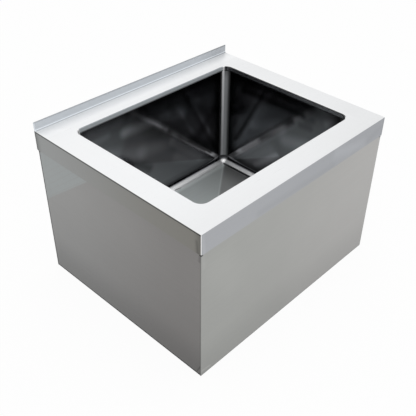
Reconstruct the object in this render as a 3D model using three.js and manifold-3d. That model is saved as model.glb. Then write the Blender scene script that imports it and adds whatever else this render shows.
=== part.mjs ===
// Floor-standing mop sink: a folded sheet rim over a coved bowl, four skirt panels down to the floor,
// and a basket drain in the middle of the creased bowl floor.
// Millimetres, +Z up, +X to the right, -Y to the front, origin on the floor in the middle of the footprint.
import * as THREE from 'three';
import { mergeVertices } from 'three/addons/utils/BufferGeometryUtils.js';
import Module from 'manifold-3d';

const wasm = await Module();
wasm.setup();

// Overall
const WIDTH = 635; // left to right, over the aprons
const DEPTH = 533.4; // front to back, over the aprons
const DECK_HEIGHT = 406.4; // floor to deck
const SHEET = 1.5; // thickness of all the folded sheet
const FIT_GAP = 0.3; // space between pieces that are welded, pressed or screwed together

// Rim
const RIM_WIDTH = 63.5; // from the outside of an apron to the bowl opening
const APRON_HEIGHT = 50.8;
const LIP_DEPTH = 12.7; // lip turned down around the opening
const EDGE_BEND = 2; // outside radius of the deck's folded edges
const CORNER_RADIUS = 1.5; // welded and ground corners of the aprons
const RELIEF_RADIUS = 1.6; // relief hole at the foot of each welded corner
const RELIEF_LENGTH = 10;
const UPTURN_HEIGHT = 22; // rear upturn above the deck
const UPTURN_BEND = 3; // inside radius at the foot of the upturn
const HEM_DEPTH = 10; // folded-back hem along the top of the upturn

// Bowl
const BOWL_DEPTH = 304.8; // deck to the edge of the bowl floor
const COVE_RADIUS = 21; // upright corners and floor edges of the bowl
const FLOOR_FALL = 4; // fall of the creased floor, from its edges to its middle
const RECESS_DEPTH = 4; // pressed recess for the drain flange
const RECESS_CLEARANCE = 1.5; // around the drain flange
const RECESS_FLARE = 2; // slope of the recess wall

// Skirts
const RETURN_WIDTH = 25.4; // flange turned in along the floor
const CORNER_FLANGE = 20; // upright flange that joins a side skirt to the front or rear one

// Drain
const CUP_RADIUS = 41.5; // outside of the strainer cup
const CUP_WALL = 1.5;
const CUP_DEPTH = 46; // flange top to cup bottom, inside
const FLANGE_WIDTH = 15.5; // flange beyond the cup
const FLANGE_THICKNESS = 2;
const MOUTH_FLARE = 2.5; // slope between the cup and its flange
const HOLE_CLEARANCE = 1.5; // hole in the bowl around the cup
const OUTLET_RADIUS = 24;
const OUTLET_LENGTH = 24;
const SEAL_THICKNESS = 1.2; // soft ring under the flange
const GASKET_THICKNESS = 3; // rubber ring under the bowl
const FRICTION_THICKNESS = 1;
const RING_INSET = 2; // rings stay inside the flange by this
const LOCKNUT_HEIGHT = 12;
const LOCKNUT_WIDTH = 8;
const LUG_COUNT = 8;
const LUG_WIDTH = 9;
const LUG_LENGTH = 5;
const SPOKE_COUNT = 4;
const SPOKE_WIDTH = 4;
const SPOKE_HEIGHT = 4;
const HUB_RADIUS = 7;
const SPIDER_DROP = 9; // cup bottom to the top of the spider in the outlet
const NUT_WALL = 5; // coupling nut
const NUT_HEIGHT = 20;
const NUT_FLOOR = 3;
const WASHER_THICKNESS = 3;
const TAIL_RADIUS = 19; // hole for the waste pipe

// Basket
const BASKET_CLEARANCE = 1.5; // basket to strainer cup
const BASKET_WALL = 1;
const BASKET_DEPTH = 28;
const POST_RADIUS = 3;
const POST_CLEARANCE = 0.5;
const BASKET_HOLE_RADIUS = 2.4;
const BASKET_HOLE_RINGS = [{ radius: 15, count: 10 }, { radius: 27, count: 18 }];
const SLOT_COUNT = 20;
const SLOT_WIDTH = 3.2;
const SLOT_HEIGHT = 13;
const STOPPER_RADIUS = 29;
const STOPPER_THICKNESS = 4;
const STOPPER_WASHER_RADIUS = 12;
const STOPPER_WASHER_THICKNESS = 1.2;
const RETAINING_NUT_RADIUS = 6.5;
const RETAINING_NUT_HEIGHT = 4.5;
const KNOB_RADIUS = 11;
const KNOB_HEIGHT = 9;
const KNOB_NECK = 5;
const KNOB_FLARE = 2; // height over which the neck widens to the grip
const KNOB_GRIP = 2.1; // height of the grip's edge
const KNOB_DOME = 1.5; // height of the shallow dome
const KNOB_EASE = 1; // how much the neck and the grip taper

// Facets
const CORNER_STEPS = 6;
const BEND_STEPS = 3;
const COVE_STEPS = 6;
const ROUND_STEPS = 32;
const SMALL_ROUND_STEPS = 16;
const HOLE_STEPS = 8;
const HEXAGON = 6;
const LEAST_RADIUS = 0.2; // a corner that is drawn sharp
const CUT_OVERRUN = 1; // how far a cutting solid runs past what it cuts

// Places that several pieces share
const openingHalfX = WIDTH / 2 - RIM_WIDTH;
const openingHalfY = DEPTH / 2 - RIM_WIDTH;
const apronBottom = DECK_HEIGHT - APRON_HEIGHT;
const lipBottom = DECK_HEIGHT - LIP_DEPTH;
const upturnTop = DECK_HEIGHT + UPTURN_HEIGHT;
const upturnBack = DEPTH / 2 - SHEET;
const upturnFace = upturnBack - SHEET;
const upturnBendCentre = upturnFace - UPTURN_BEND;
const bowlTop = lipBottom - FIT_GAP;
const bowlFloor = DECK_HEIGHT - BOWL_DEPTH;
const skirtInset = SHEET + FIT_GAP;
const skirtTop = DECK_HEIGHT - SHEET - FIT_GAP;

// The drain is drawn from its seat, the bottom of the pressed recess.
const drainSeat = bowlFloor - FLOOR_FALL - RECESS_DEPTH;
const flangeRadius = CUP_RADIUS + FLANGE_WIDTH;
const recessRadius = flangeRadius + RECESS_CLEARANCE;
const holeRadius = CUP_RADIUS + HOLE_CLEARANCE;
const ringRadius = flangeRadius - RING_INSET;
const flangeBottom = SEAL_THICKNESS + 2 * FIT_GAP;
const flangeTop = flangeBottom + FLANGE_THICKNESS;
const cupBore = CUP_RADIUS - CUP_WALL;
const outletBore = OUTLET_RADIUS - CUP_WALL;
const cupFloor = flangeTop - CUP_DEPTH;
const outletBottom = cupFloor - CUP_WALL - OUTLET_LENGTH;
const outletTop = cupFloor - CUP_WALL - FIT_GAP;
const gasketTop = -SHEET - FIT_GAP;
const frictionTop = gasketTop - GASKET_THICKNESS - FIT_GAP;
const locknutTop = frictionTop - FRICTION_THICKNESS - FIT_GAP;
const washerTop = outletBottom - FIT_GAP;
const couplingBottom = washerTop - WASHER_THICKNESS - FIT_GAP - NUT_FLOOR;
const basketRadius = cupBore - BASKET_CLEARANCE;
const basketFloor = flangeTop - BASKET_DEPTH;
const stopperBottom = cupFloor + FIT_GAP;
const stopperTop = stopperBottom + STOPPER_THICKNESS;
const spiderTop = cupFloor - SPIDER_DROP;
const postBottom = spiderTop - SPOKE_HEIGHT;
const knobBottom = flangeTop - KNOB_HEIGHT;
const postBore = POST_RADIUS + FIT_GAP;

// ---------------------------------------------------------------- shapes

// Points along an arc, from one angle in degrees to another.
function arc(centreX, centreY, radius, from, to, steps = BEND_STEPS) {
  const points = [];
  for (let step = 0; step <= steps; step++) {
    const angle = THREE.MathUtils.degToRad(from + ((to - from) * step) / steps);
    points.push(new THREE.Vector2(centreX + radius * Math.cos(angle), centreY + radius * Math.sin(angle)));
  }
  return points;
}

// A level ring in the shape of a rounded rectangle, anticlockwise, always with the same number of points.
function roundedRectangle(halfX, halfY, radius, z) {
  const corner = Math.max(radius, LEAST_RADIUS);
  const signs = [[1, 1], [-1, 1], [-1, -1], [1, -1]];
  return signs.flatMap(([signX, signY], quarter) => {
    const centreX = signX * (halfX - corner);
    const centreY = signY * (halfY - corner);
    const points = arc(centreX, centreY, corner, quarter * 90, quarter * 90 + 90, CORNER_STEPS);
    return points.map((point) => new THREE.Vector3(point.x, point.y, z));
  });
}

// A skin over rings of equal length. The rings rise on the outside, and either come back down inside and
// close on themselves, or are capped at both ends.
function loft(rings, closed) {
  const size = rings[0].length;
  const index = [];
  const spans = closed ? rings.length : rings.length - 1;
  for (let span = 0; span < spans; span++) {
    const lower = span * size;
    const upper = ((span + 1) % rings.length) * size;
    for (let point = 0; point < size; point++) {
      const next = (point + 1) % size;
      index.push(lower + point, lower + next, upper + next);
      index.push(lower + point, upper + next, upper + point);
    }
  }
  if (!closed) {
    const top = (rings.length - 1) * size;
    for (let point = 1; point < size - 1; point++) {
      index.push(0, point + 1, point);
      index.push(top, top + point, top + point + 1);
    }
  }
  const geometry = new THREE.BufferGeometry().setFromPoints(rings.flat());
  geometry.setIndex(index);
  return geometry;
}

// A closed geometry as a solid that can be joined and cut.
function solid(geometry) {
  const bare = geometry.clone();
  bare.deleteAttribute('normal');
  bare.deleteAttribute('uv');
  const merged = mergeVertices(bare);
  const triangles = [];
  for (let corner = 0; corner < merged.index.count; corner += 3) {
    const [a, b, c] = [0, 1, 2].map((offset) => merged.index.getX(corner + offset));
    if (a !== b && b !== c && c !== a) triangles.push(a, b, c);
  }
  return new wasm.Manifold(new wasm.Mesh({
    numProp: 3,
    vertProperties: new Float32Array(merged.attributes.position.array),
    triVerts: new Uint32Array(triangles),
  }));
}

// A box between two corners.
function box(low, high) {
  const geometry = new THREE.BoxGeometry(high[0] - low[0], high[1] - low[1], high[2] - low[2]);
  geometry.translate((low[0] + high[0]) / 2, (low[1] + high[1]) / 2, (low[2] + high[2]) / 2);
  return solid(geometry);
}

// An upright cylinder, or a cone where the two radii differ.
function cylinder(radius, bottom, top, steps = ROUND_STEPS, topRadius = radius) {
  const geometry = new THREE.CylinderGeometry(topRadius, radius, top - bottom, steps);
  geometry.rotateX(Math.PI / 2);
  geometry.translate(0, 0, (bottom + top) / 2);
  return solid(geometry);
}

// A turned piece: its profile of [radius, height] pairs runs anticlockwise. It closes on itself, or starts
// and ends on the axis.
function turned(profile, steps = ROUND_STEPS) {
  const points = profile.map(([radius, height]) => new THREE.Vector2(radius, height));
  const onAxis = profile[0][0] === 0;
  if (!onAxis) points.push(points[0].clone());
  const geometry = new THREE.LatheGeometry(points, steps);
  geometry.rotateX(Math.PI / 2);
  return solid(geometry);
}

// A flat ring with a square section.
function ring(inner, outer, bottom, top, steps = ROUND_STEPS) {
  return turned([[inner, bottom], [outer, bottom], [outer, top], [inner, top]], steps);
}

// Copies of a solid, spread evenly round the upright axis.
function around(count, piece) {
  let all = piece;
  for (let copy = 1; copy < count; copy++) all = all.add(piece.rotate([0, 0, (360 * copy) / count]));
  return all;
}

// ---------------------------------------------------------------- finishes

const STEEL_DECK = { color: 0xdfe1e3, roughness: 0.3, metalness: 1 };
const STEEL_SKIRT = { color: 0xb9bab8, roughness: 0.35, metalness: 1 };
const STEEL_BOWL = { color: 0x6b6e70, roughness: 0.25, metalness: 1 };
const STEEL_DRAIN = { color: 0xc4c7ca, roughness: 0.2, metalness: 1 };
const ZINC = { color: 0x9da0a0, roughness: 0.5, metalness: 1 };
const BRASS = { color: 0xb08d4a, roughness: 0.4, metalness: 1 };
const RUBBER = { color: 0x1d1d1e, roughness: 0.85, metalness: 0 };
const FIBRE = { color: 0x9c8a68, roughness: 0.95, metalness: 0 };
const NYLON = { color: 0xe6e4dc, roughness: 0.5, metalness: 0 };

// A named piece of the sink in its finish.
function piece(name, shape, finish) {
  const mesh = shape.getMesh();
  const geometry = new THREE.BufferGeometry();
  geometry.setAttribute('position', new THREE.BufferAttribute(mesh.vertProperties, 3));
  geometry.setIndex(new THREE.BufferAttribute(mesh.triVerts, 1));
  geometry.computeVertexNormals();
  const made = new THREE.Mesh(geometry, new THREE.MeshStandardMaterial({ ...finish, flatShading: true }));
  made.name = name;
  return made;
}

// ---------------------------------------------------------------- rim

// A ring inside the outline of the aprons.
function outline(inset, z) {
  return roundedRectangle(WIDTH / 2 - inset, DEPTH / 2 - inset, CORNER_RADIUS - inset, z);
}

// A ring outside the bowl opening.
function opening(grow, z) {
  return roundedRectangle(openingHalfX + grow, openingHalfY + grow, COVE_RADIUS + grow, z);
}

// Deck, lip and aprons as one folded skin, still with an apron along the back.
function foldedDeck() {
  const bendHeight = DECK_HEIGHT - EDGE_BEND;
  const outside = arc(EDGE_BEND, bendHeight, EDGE_BEND, 180, 90);
  const inside = arc(EDGE_BEND, bendHeight, EDGE_BEND - SHEET, 180, 90);
  return solid(loft([
    outline(0, apronBottom),
    ...outside.map((point) => outline(point.x, point.y)),
    ...outside.toReversed().map((point) => opening(point.x, point.y)),
    opening(0, lipBottom),
    opening(SHEET, lipBottom),
    ...inside.map((point) => opening(point.x, point.y)),
    ...inside.toReversed().map((point) => outline(point.x, point.y)),
    outline(SHEET, apronBottom),
  ], true));
}

// The rear upturn, with its bend out of the deck and its hem, along the whole width.
function upturn() {
  const profile = [
    new THREE.Vector2(upturnBendCentre - CUT_OVERRUN, DECK_HEIGHT - SHEET),
    ...arc(upturnBendCentre, DECK_HEIGHT + UPTURN_BEND, UPTURN_BEND + SHEET, -90, 0),
    new THREE.Vector2(upturnBack, upturnTop - HEM_DEPTH),
    new THREE.Vector2(DEPTH / 2, upturnTop - HEM_DEPTH),
    ...arc(upturnBack, upturnTop - SHEET, SHEET, 0, 180, 2 * BEND_STEPS),
    ...arc(upturnBendCentre, DECK_HEIGHT + UPTURN_BEND, UPTURN_BEND, 0, -90),
    new THREE.Vector2(upturnBendCentre - CUT_OVERRUN, DECK_HEIGHT),
  ];
  const section = new THREE.Shape(profile);
  const geometry = new THREE.ExtrudeGeometry(section, { depth: WIDTH, bevelEnabled: false });
  const across = new THREE.Vector3(1, 0, 0);
  const back = new THREE.Vector3(0, 1, 0);
  const up = new THREE.Vector3(0, 0, 1);
  geometry.applyMatrix4(new THREE.Matrix4().makeBasis(back, up, across));
  geometry.translate(-WIDTH / 2, 0, 0);
  return solid(geometry);
}

// The four relief holes, level with the bottom of the aprons and square to the corners.
function reliefHoles() {
  const geometry = new THREE.CylinderGeometry(RELIEF_RADIUS, RELIEF_RADIUS, RELIEF_LENGTH, HOLE_STEPS);
  const holes = [[1, 1], [-1, 1], [-1, -1], [1, -1]].map(([signX, signY]) => {
    const hole = geometry.clone();
    hole.rotateZ(-signX * signY * (Math.PI / 4));
    hole.translate((signX * WIDTH) / 2, (signY * DEPTH) / 2, apronBottom);
    return solid(hole);
  });
  return holes.reduce((all, hole) => all.add(hole));
}

function rimTop() {
  const past = CUT_OVERRUN;
  const sideInside = WIDTH / 2 - SHEET;
  const rearStrip = box(
    [-WIDTH / 2 - past, upturnBack, apronBottom - past],
    [WIDTH / 2 + past, DEPTH / 2 + past, DECK_HEIGHT + past],
  );
  const rearDeck = box(
    [-sideInside, upturnBendCentre, apronBottom - past],
    [sideInside, DEPTH / 2 + past, DECK_HEIGHT + past],
  );
  return foldedDeck().subtract(rearStrip).subtract(rearDeck).add(upturn()).subtract(reliefHoles());
}

// Flat strip welded to the back of the upturn, closing the rim at the rear.
function rearApron() {
  const strip = box(
    [-WIDTH / 2, upturnBack + FIT_GAP, apronBottom],
    [WIDTH / 2, DEPTH / 2, upturnTop - HEM_DEPTH - FIT_GAP],
  );
  return strip.subtract(reliefHoles());
}

// ---------------------------------------------------------------- bowl

// The bowl's inside as a solid, grown by a thickness, with coved floor edges and upright corners.
function coved(grow, top) {
  const radius = COVE_RADIUS + grow;
  const cove = arc(COVE_RADIUS, bowlFloor + COVE_RADIUS, radius, 270, 180, COVE_STEPS);
  const rings = cove.map((point) => opening(-point.x, point.y));
  return solid(loft([...rings, opening(grow, top)], false));
}

// The creased floor as a shallow pyramid with its point down, lowered by a thickness.
function creased(drop) {
  const halfX = openingHalfX - COVE_RADIUS;
  const halfY = openingHalfY - COVE_RADIUS;
  const edge = bowlFloor - drop;
  const point = LEAST_RADIUS / COVE_RADIUS;
  return solid(loft([
    roundedRectangle(halfX * point, halfY * point, 0, edge - FLOOR_FALL),
    roundedRectangle(halfX, halfY, 0, edge),
    roundedRectangle(halfX, halfY, 0, edge + CUT_OVERRUN),
  ], false));
}

// The pressed drain recess, grown by a thickness.
function recess(grow, top) {
  const wide = recessRadius + RECESS_FLARE;
  return cylinder(recessRadius + grow, drainSeat - grow, top, ROUND_STEPS, wide + grow);
}

function bowl() {
  const outside = coved(SHEET, bowlTop).add(creased(SHEET)).add(recess(SHEET, bowlFloor - SHEET));
  const inside = coved(0, bowlTop + CUT_OVERRUN).add(creased(0)).add(recess(0, bowlFloor));
  const hole = cylinder(holeRadius, drainSeat - SHEET - CUT_OVERRUN, bowlFloor);
  return outside.subtract(inside).subtract(hole);
}

// ---------------------------------------------------------------- skirts

// A panel that stands along X with its outer face at y = 0 and its inside towards +y. The flange along the
// floor is mitred, and stops short of the next panel's flange.
function panel(halfLength, cornerHalf) {
  const reach = (depth) => cornerHalf - depth - FIT_GAP;
  const flange = [
    [-reach(SHEET), 0],
    [reach(SHEET), 0],
    [reach(SHEET), SHEET],
    [reach(RETURN_WIDTH), RETURN_WIDTH],
    [-reach(RETURN_WIDTH), RETURN_WIDTH],
    [-reach(SHEET), SHEET],
  ];
  const shape = new THREE.Shape(flange.map(([x, y]) => new THREE.Vector2(x, y)));
  const bottom = solid(new THREE.ExtrudeGeometry(shape, { depth: SHEET, bevelEnabled: false }));
  return bottom.add(box([-halfLength, 0, 0], [halfLength, SHEET, skirtTop]));
}

// Front and rear skirts cover the full width.
function endSkirt() {
  const half = WIDTH / 2 - skirtInset;
  return panel(half, half);
}

// Left and right skirts stand between the other two and have an upright flange at each end.
function sideSkirt() {
  const corner = DEPTH / 2 - skirtInset;
  const half = corner - SHEET - FIT_GAP;
  const foot = SHEET + FIT_GAP;
  const flanges = [-1, 1].map((side) => {
    const [low, high] = [side * half, side * (half - SHEET)].toSorted((a, b) => a - b);
    return box([low, 0, foot], [high, SHEET + CORNER_FLANGE, skirtTop]);
  });
  return panel(half, corner).add(flanges[0]).add(flanges[1]);
}

// The four skirts, turned to face outwards.
function skirts() {
  const group = new THREE.Group();
  const front = piece('front_skirt', endSkirt(), STEEL_SKIRT);
  front.position.set(0, -(DEPTH / 2 - skirtInset), 0);
  const right = piece('right_skirt', sideSkirt(), STEEL_SKIRT);
  right.position.set(WIDTH / 2 - skirtInset, 0, 0);
  right.rotation.z = Math.PI / 2;
  const rear = piece('rear_skirt', endSkirt(), STEEL_SKIRT);
  rear.position.set(0, DEPTH / 2 - skirtInset, 0);
  rear.rotation.z = Math.PI;
  const left = piece('left_skirt', sideSkirt(), STEEL_SKIRT);
  left.position.set(-(WIDTH / 2 - skirtInset), 0, 0);
  left.rotation.z = -Math.PI / 2;
  group.add(front, right, rear, left);
  return group;
}

// ---------------------------------------------------------------- drain

// Four spokes and a hub, welded across the outlet, with the hole that guides the basket post.
function spider() {
  const reach = outletBore - FIT_GAP;
  const half = SPOKE_WIDTH / 2;
  const spoke = box([0, -half, spiderTop - SPOKE_HEIGHT], [reach, half, spiderTop]);
  const hub = cylinder(HUB_RADIUS, spiderTop - SPOKE_HEIGHT, spiderTop, SMALL_ROUND_STEPS);
  const guide = cylinder(
    POST_RADIUS + POST_CLEARANCE,
    spiderTop - SPOKE_HEIGHT - CUT_OVERRUN,
    spiderTop + CUT_OVERRUN,
    SMALL_ROUND_STEPS,
  );
  return around(SPOKE_COUNT, spoke).add(hub).subtract(guide);
}

// Flanged cup with a flat bottom and a flared mouth, whose back runs one wall behind its front.
function strainerBody() {
  const slant = CUP_WALL * Math.SQRT2;
  return turned([
    [outletBore, cupFloor - CUP_WALL],
    [CUP_RADIUS - CUP_WALL, cupFloor - CUP_WALL],
    [CUP_RADIUS, cupFloor],
    [CUP_RADIUS, flangeTop - MOUTH_FLARE + CUP_WALL - slant],
    [cupBore + MOUTH_FLARE - FLANGE_THICKNESS + slant, flangeBottom],
    [flangeRadius, flangeBottom],
    [flangeRadius, flangeTop - FLANGE_THICKNESS / 2],
    [flangeRadius - FLANGE_THICKNESS, flangeTop],
    [cupBore + MOUTH_FLARE, flangeTop],
    [cupBore, flangeTop - MOUTH_FLARE],
    [cupBore, cupFloor],
    [outletBore, cupFloor],
  ]);
}

// Threaded tube welded under the cup.
function outletTube() {
  return ring(outletBore, OUTLET_RADIUS, outletBottom, outletTop);
}

// Clamping ring screwed on the cup, with lugs for a spanner.
function locknut() {
  const bore = CUP_RADIUS + FIT_GAP;
  const outer = bore + LOCKNUT_WIDTH;
  const bottom = locknutTop - LOCKNUT_HEIGHT;
  const lug = box(
    [outer - LOCKNUT_WIDTH / 2, -LUG_WIDTH / 2, bottom],
    [outer + LUG_LENGTH, LUG_WIDTH / 2, locknutTop - SHEET],
  );
  return ring(bore, outer, bottom, locknutTop).add(around(LUG_COUNT, lug));
}

// Hexagon nut on the outlet, which holds the washer for the waste pipe.
function couplingNut() {
  const bore = OUTLET_RADIUS + FIT_GAP;
  const top = couplingBottom + NUT_HEIGHT;
  const nut = cylinder(bore + NUT_WALL, couplingBottom, top, HEXAGON);
  const thread = cylinder(bore, couplingBottom + NUT_FLOOR, top + CUT_OVERRUN);
  const hole = cylinder(TAIL_RADIUS, couplingBottom - CUT_OVERRUN, top);
  return nut.subtract(thread).subtract(hole);
}

// Perforated cup that hangs by its flared rim in the mouth of the strainer.
function basketCup() {
  const rimDrop = FIT_GAP * Math.SQRT2;
  const rim = basketRadius + MOUTH_FLARE;
  const flareFoot = flangeTop - MOUTH_FLARE - BASKET_CLEARANCE + rimDrop;
  const flareTop = flareFoot + MOUTH_FLARE;
  const cup = turned([
    [postBore, basketFloor],
    [basketRadius - BASKET_WALL, basketFloor],
    [basketRadius, basketFloor + BASKET_WALL],
    [basketRadius, flareFoot],
    [rim, flareTop],
    [rim - BASKET_WALL, flareTop + BASKET_WALL / 2],
    [basketRadius - BASKET_WALL, flareFoot + BASKET_WALL / 2],
    [basketRadius - BASKET_WALL, basketFloor + BASKET_WALL],
    [postBore, basketFloor + BASKET_WALL],
  ]);
  const drill = cylinder(
    BASKET_HOLE_RADIUS,
    basketFloor - CUT_OVERRUN,
    basketFloor + BASKET_WALL + CUT_OVERRUN,
    HOLE_STEPS,
  );
  const holes = BASKET_HOLE_RINGS.map(({ radius, count }) => around(count, drill.translate([radius, 0, 0])));
  const slotFoot = basketFloor + (flareFoot - basketFloor - SLOT_HEIGHT) / 2;
  const slot = box(
    [basketRadius - BASKET_WALL - CUT_OVERRUN, -SLOT_WIDTH / 2, slotFoot],
    [basketRadius + CUT_OVERRUN, SLOT_WIDTH / 2, slotFoot + SLOT_HEIGHT],
  );
  const drilled = holes.reduce((left, ringOfHoles) => left.subtract(ringOfHoles), cup);
  return drilled.subtract(around(SLOT_COUNT, slot));
}

// Post from the spider up into the knob, with a collar under the basket floor.
function basketPost() {
  const collar = postBore + 2 * POST_CLEARANCE + FIT_GAP;
  const collarTop = basketFloor - FIT_GAP;
  const collarBottom = stopperTop + STOPPER_WASHER_THICKNESS + 2 * FIT_GAP;
  return turned([
    [0, postBottom],
    [POST_RADIUS, postBottom],
    [POST_RADIUS, collarBottom],
    [collar, collarBottom],
    [collar, collarTop],
    [POST_RADIUS, collarTop],
    [POST_RADIUS, knobBottom + KNOB_HEIGHT / 2],
    [0, knobBottom + KNOB_HEIGHT / 2],
  ], SMALL_ROUND_STEPS);
}

// Domed knob, bored for the post.
function liftKnob() {
  const top = knobBottom + KNOB_HEIGHT;
  const domeFoot = top - KNOB_DOME;
  const gripFoot = domeFoot - KNOB_GRIP;
  return turned([
    [postBore, knobBottom],
    [KNOB_NECK, knobBottom],
    [KNOB_NECK + KNOB_EASE, gripFoot - KNOB_FLARE],
    [KNOB_RADIUS, gripFoot],
    [KNOB_RADIUS - KNOB_EASE, domeFoot],
    [0, top],
    [0, knobBottom + KNOB_HEIGHT / 2 + FIT_GAP],
    [postBore, knobBottom + KNOB_HEIGHT / 2 + FIT_GAP],
  ], SMALL_ROUND_STEPS);
}

// Rubber disc that closes the outlet when the basket is down.
function stopperSeal() {
  return ring(postBore, STOPPER_RADIUS, stopperBottom, stopperTop, SMALL_ROUND_STEPS);
}

// Metal washer that backs the stopper.
function stopperWasher() {
  const bottom = stopperTop + FIT_GAP;
  const top = bottom + STOPPER_WASHER_THICKNESS;
  return ring(postBore, STOPPER_WASHER_RADIUS, bottom, top, SMALL_ROUND_STEPS);
}

// Small nut that holds the stopper up on the post.
function retainingNut() {
  const top = stopperBottom - FIT_GAP;
  const bottom = top - RETAINING_NUT_HEIGHT;
  const bore = cylinder(postBore, bottom - CUT_OVERRUN, top + CUT_OVERRUN, SMALL_ROUND_STEPS);
  return cylinder(RETAINING_NUT_RADIUS, bottom, top, HEXAGON).subtract(bore);
}

// The ring that seals the coupling nut to the outlet.
function couplingWasher() {
  return ring(TAIL_RADIUS, OUTLET_RADIUS, washerTop - WASHER_THICKNESS, washerTop);
}

// A flat ring round the cup, below a height.
function clampedRing(thickness, top) {
  return ring(holeRadius, ringRadius, top - thickness, top);
}

// The drain and its basket, from the bowl's seat down to the waste pipe.
function drain() {
  const group = new THREE.Group();
  group.position.z = drainSeat;
  group.add(
    piece('strainer_body', strainerBody(), STEEL_DRAIN),
    piece('outlet_tube', outletTube(), STEEL_DRAIN),
    piece('spider', spider(), STEEL_DRAIN),
    piece('flange_seal', clampedRing(SEAL_THICKNESS, FIT_GAP + SEAL_THICKNESS), NYLON),
    piece('under_gasket', clampedRing(GASKET_THICKNESS, gasketTop), RUBBER),
    piece('friction_washer', clampedRing(FRICTION_THICKNESS, frictionTop), FIBRE),
    piece('locknut', locknut(), ZINC),
    piece('coupling_nut', couplingNut(), BRASS),
    piece('coupling_washer', couplingWasher(), NYLON),
    piece('basket_cup', basketCup(), STEEL_DRAIN),
    piece('basket_post', basketPost(), STEEL_DRAIN),
    piece('lift_knob', liftKnob(), STEEL_DRAIN),
    piece('stopper_seal', stopperSeal(), RUBBER),
    piece('stopper_washer', stopperWasher(), STEEL_DRAIN),
    piece('retaining_nut', retainingNut(), BRASS),
  );
  return group;
}

// ---------------------------------------------------------------- whole sink

const sink = new THREE.Group();
sink.add(
  piece('rim_top', rimTop(), STEEL_DECK),
  piece('rear_apron', rearApron(), STEEL_DECK),
  piece('bowl', bowl(), STEEL_BOWL),
  skirts(),
  drain(),
);

export default sink;
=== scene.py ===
"""Finer sheet metal, finishes and a plain studio for a floor-standing mop sink.

Sizes are in millimetres while a piece is made, and in metres once it stands in the scene.
"""

import logging
import math
from collections.abc import Callable, Iterable, Sequence
from dataclasses import dataclass, replace
from enum import Enum
from functools import cached_property
from typing import Any

import bmesh
import bpy
from mathutils import Matrix, Vector


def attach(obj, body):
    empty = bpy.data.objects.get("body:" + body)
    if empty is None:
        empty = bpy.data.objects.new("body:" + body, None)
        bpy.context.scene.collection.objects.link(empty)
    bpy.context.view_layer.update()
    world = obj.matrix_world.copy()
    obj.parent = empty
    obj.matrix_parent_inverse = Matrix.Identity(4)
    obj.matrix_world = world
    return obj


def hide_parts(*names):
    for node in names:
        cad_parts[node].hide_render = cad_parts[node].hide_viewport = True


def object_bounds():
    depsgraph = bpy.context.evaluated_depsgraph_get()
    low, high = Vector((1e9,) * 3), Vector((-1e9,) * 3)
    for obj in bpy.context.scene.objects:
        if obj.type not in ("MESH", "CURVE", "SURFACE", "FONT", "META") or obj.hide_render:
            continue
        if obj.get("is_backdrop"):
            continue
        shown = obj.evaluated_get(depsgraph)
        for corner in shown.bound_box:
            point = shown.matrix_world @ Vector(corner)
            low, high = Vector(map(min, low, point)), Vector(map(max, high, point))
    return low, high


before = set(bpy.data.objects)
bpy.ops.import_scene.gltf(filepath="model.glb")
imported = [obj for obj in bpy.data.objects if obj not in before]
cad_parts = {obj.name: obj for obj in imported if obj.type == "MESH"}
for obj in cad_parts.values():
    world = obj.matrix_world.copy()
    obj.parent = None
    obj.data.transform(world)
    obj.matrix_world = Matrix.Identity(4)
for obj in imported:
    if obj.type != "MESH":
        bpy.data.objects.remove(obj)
CAD_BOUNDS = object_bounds()

MM = 0.001
MERGED = 2e-4
SLIVER = 1e-4
SHARP = math.radians(32)
log = logging.getLogger("mop_sink")

Point = tuple[float, float]
Ring = list[tuple[float, float, float]]
Colour = tuple[float, float, float]
# A soft stroke of lighter or darker tone on a face: its two ends, the distance at which it has faded out, and
# how much it adds. On the bowl's walls the strokes are painted reflections and painted shade; on the rim and
# the skirt panels they are lighter and darker streaks.
ToneStroke = tuple[Point, Point, float, float]
# A soft step along an axis: the axis, where the step starts and where it is complete.
Step = tuple[str, float, float]
# How much a place is lighter or darker, and after that the steps that limit the place.
Tint = tuple[Any, ...]


class Body(Enum):
    """The bodies that pieces ride on."""

    SINK = "sink"
    BASKET = "basket"


class Slot(Enum):
    """The finishes that the record names."""

    DECK = "deck_steel"
    SKIRT = "skirt_steel"
    BOWL = "bowl_steel"
    DRAIN = "drain_steel"
    ZINC = "zinc_plate"
    BRASS = "brass"
    RUBBER = "rubber"
    FIBRE = "fibre"
    NYLON = "nylon"


class Grain(Enum):
    """Which way the rolled grain of a sheet runs, as noise cells for each millimetre along X, Y and Z."""

    ALONG_X = (0.011, 1.3, 1.3)
    ALONG_Y = (1.3, 0.011, 1.3)


# ---------------------------------------------------------------- outlines


def arc(centre: Point, radius: float, start: float, end: float, steps: int) -> list[Point]:
    """Points along an arc.

    Args:
        centre: middle of the arc.
        radius: its radius.
        start: first angle, in degrees.
        end: last angle, in degrees.
        steps: how many straight runs stand for the arc.

    Returns:
        The points, both ends included.
    """
    angles = [math.radians(start + (end - start) * step / steps) for step in range(steps + 1)]
    return [(centre[0] + radius * math.cos(a), centre[1] + radius * math.sin(a)) for a in angles]


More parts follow.
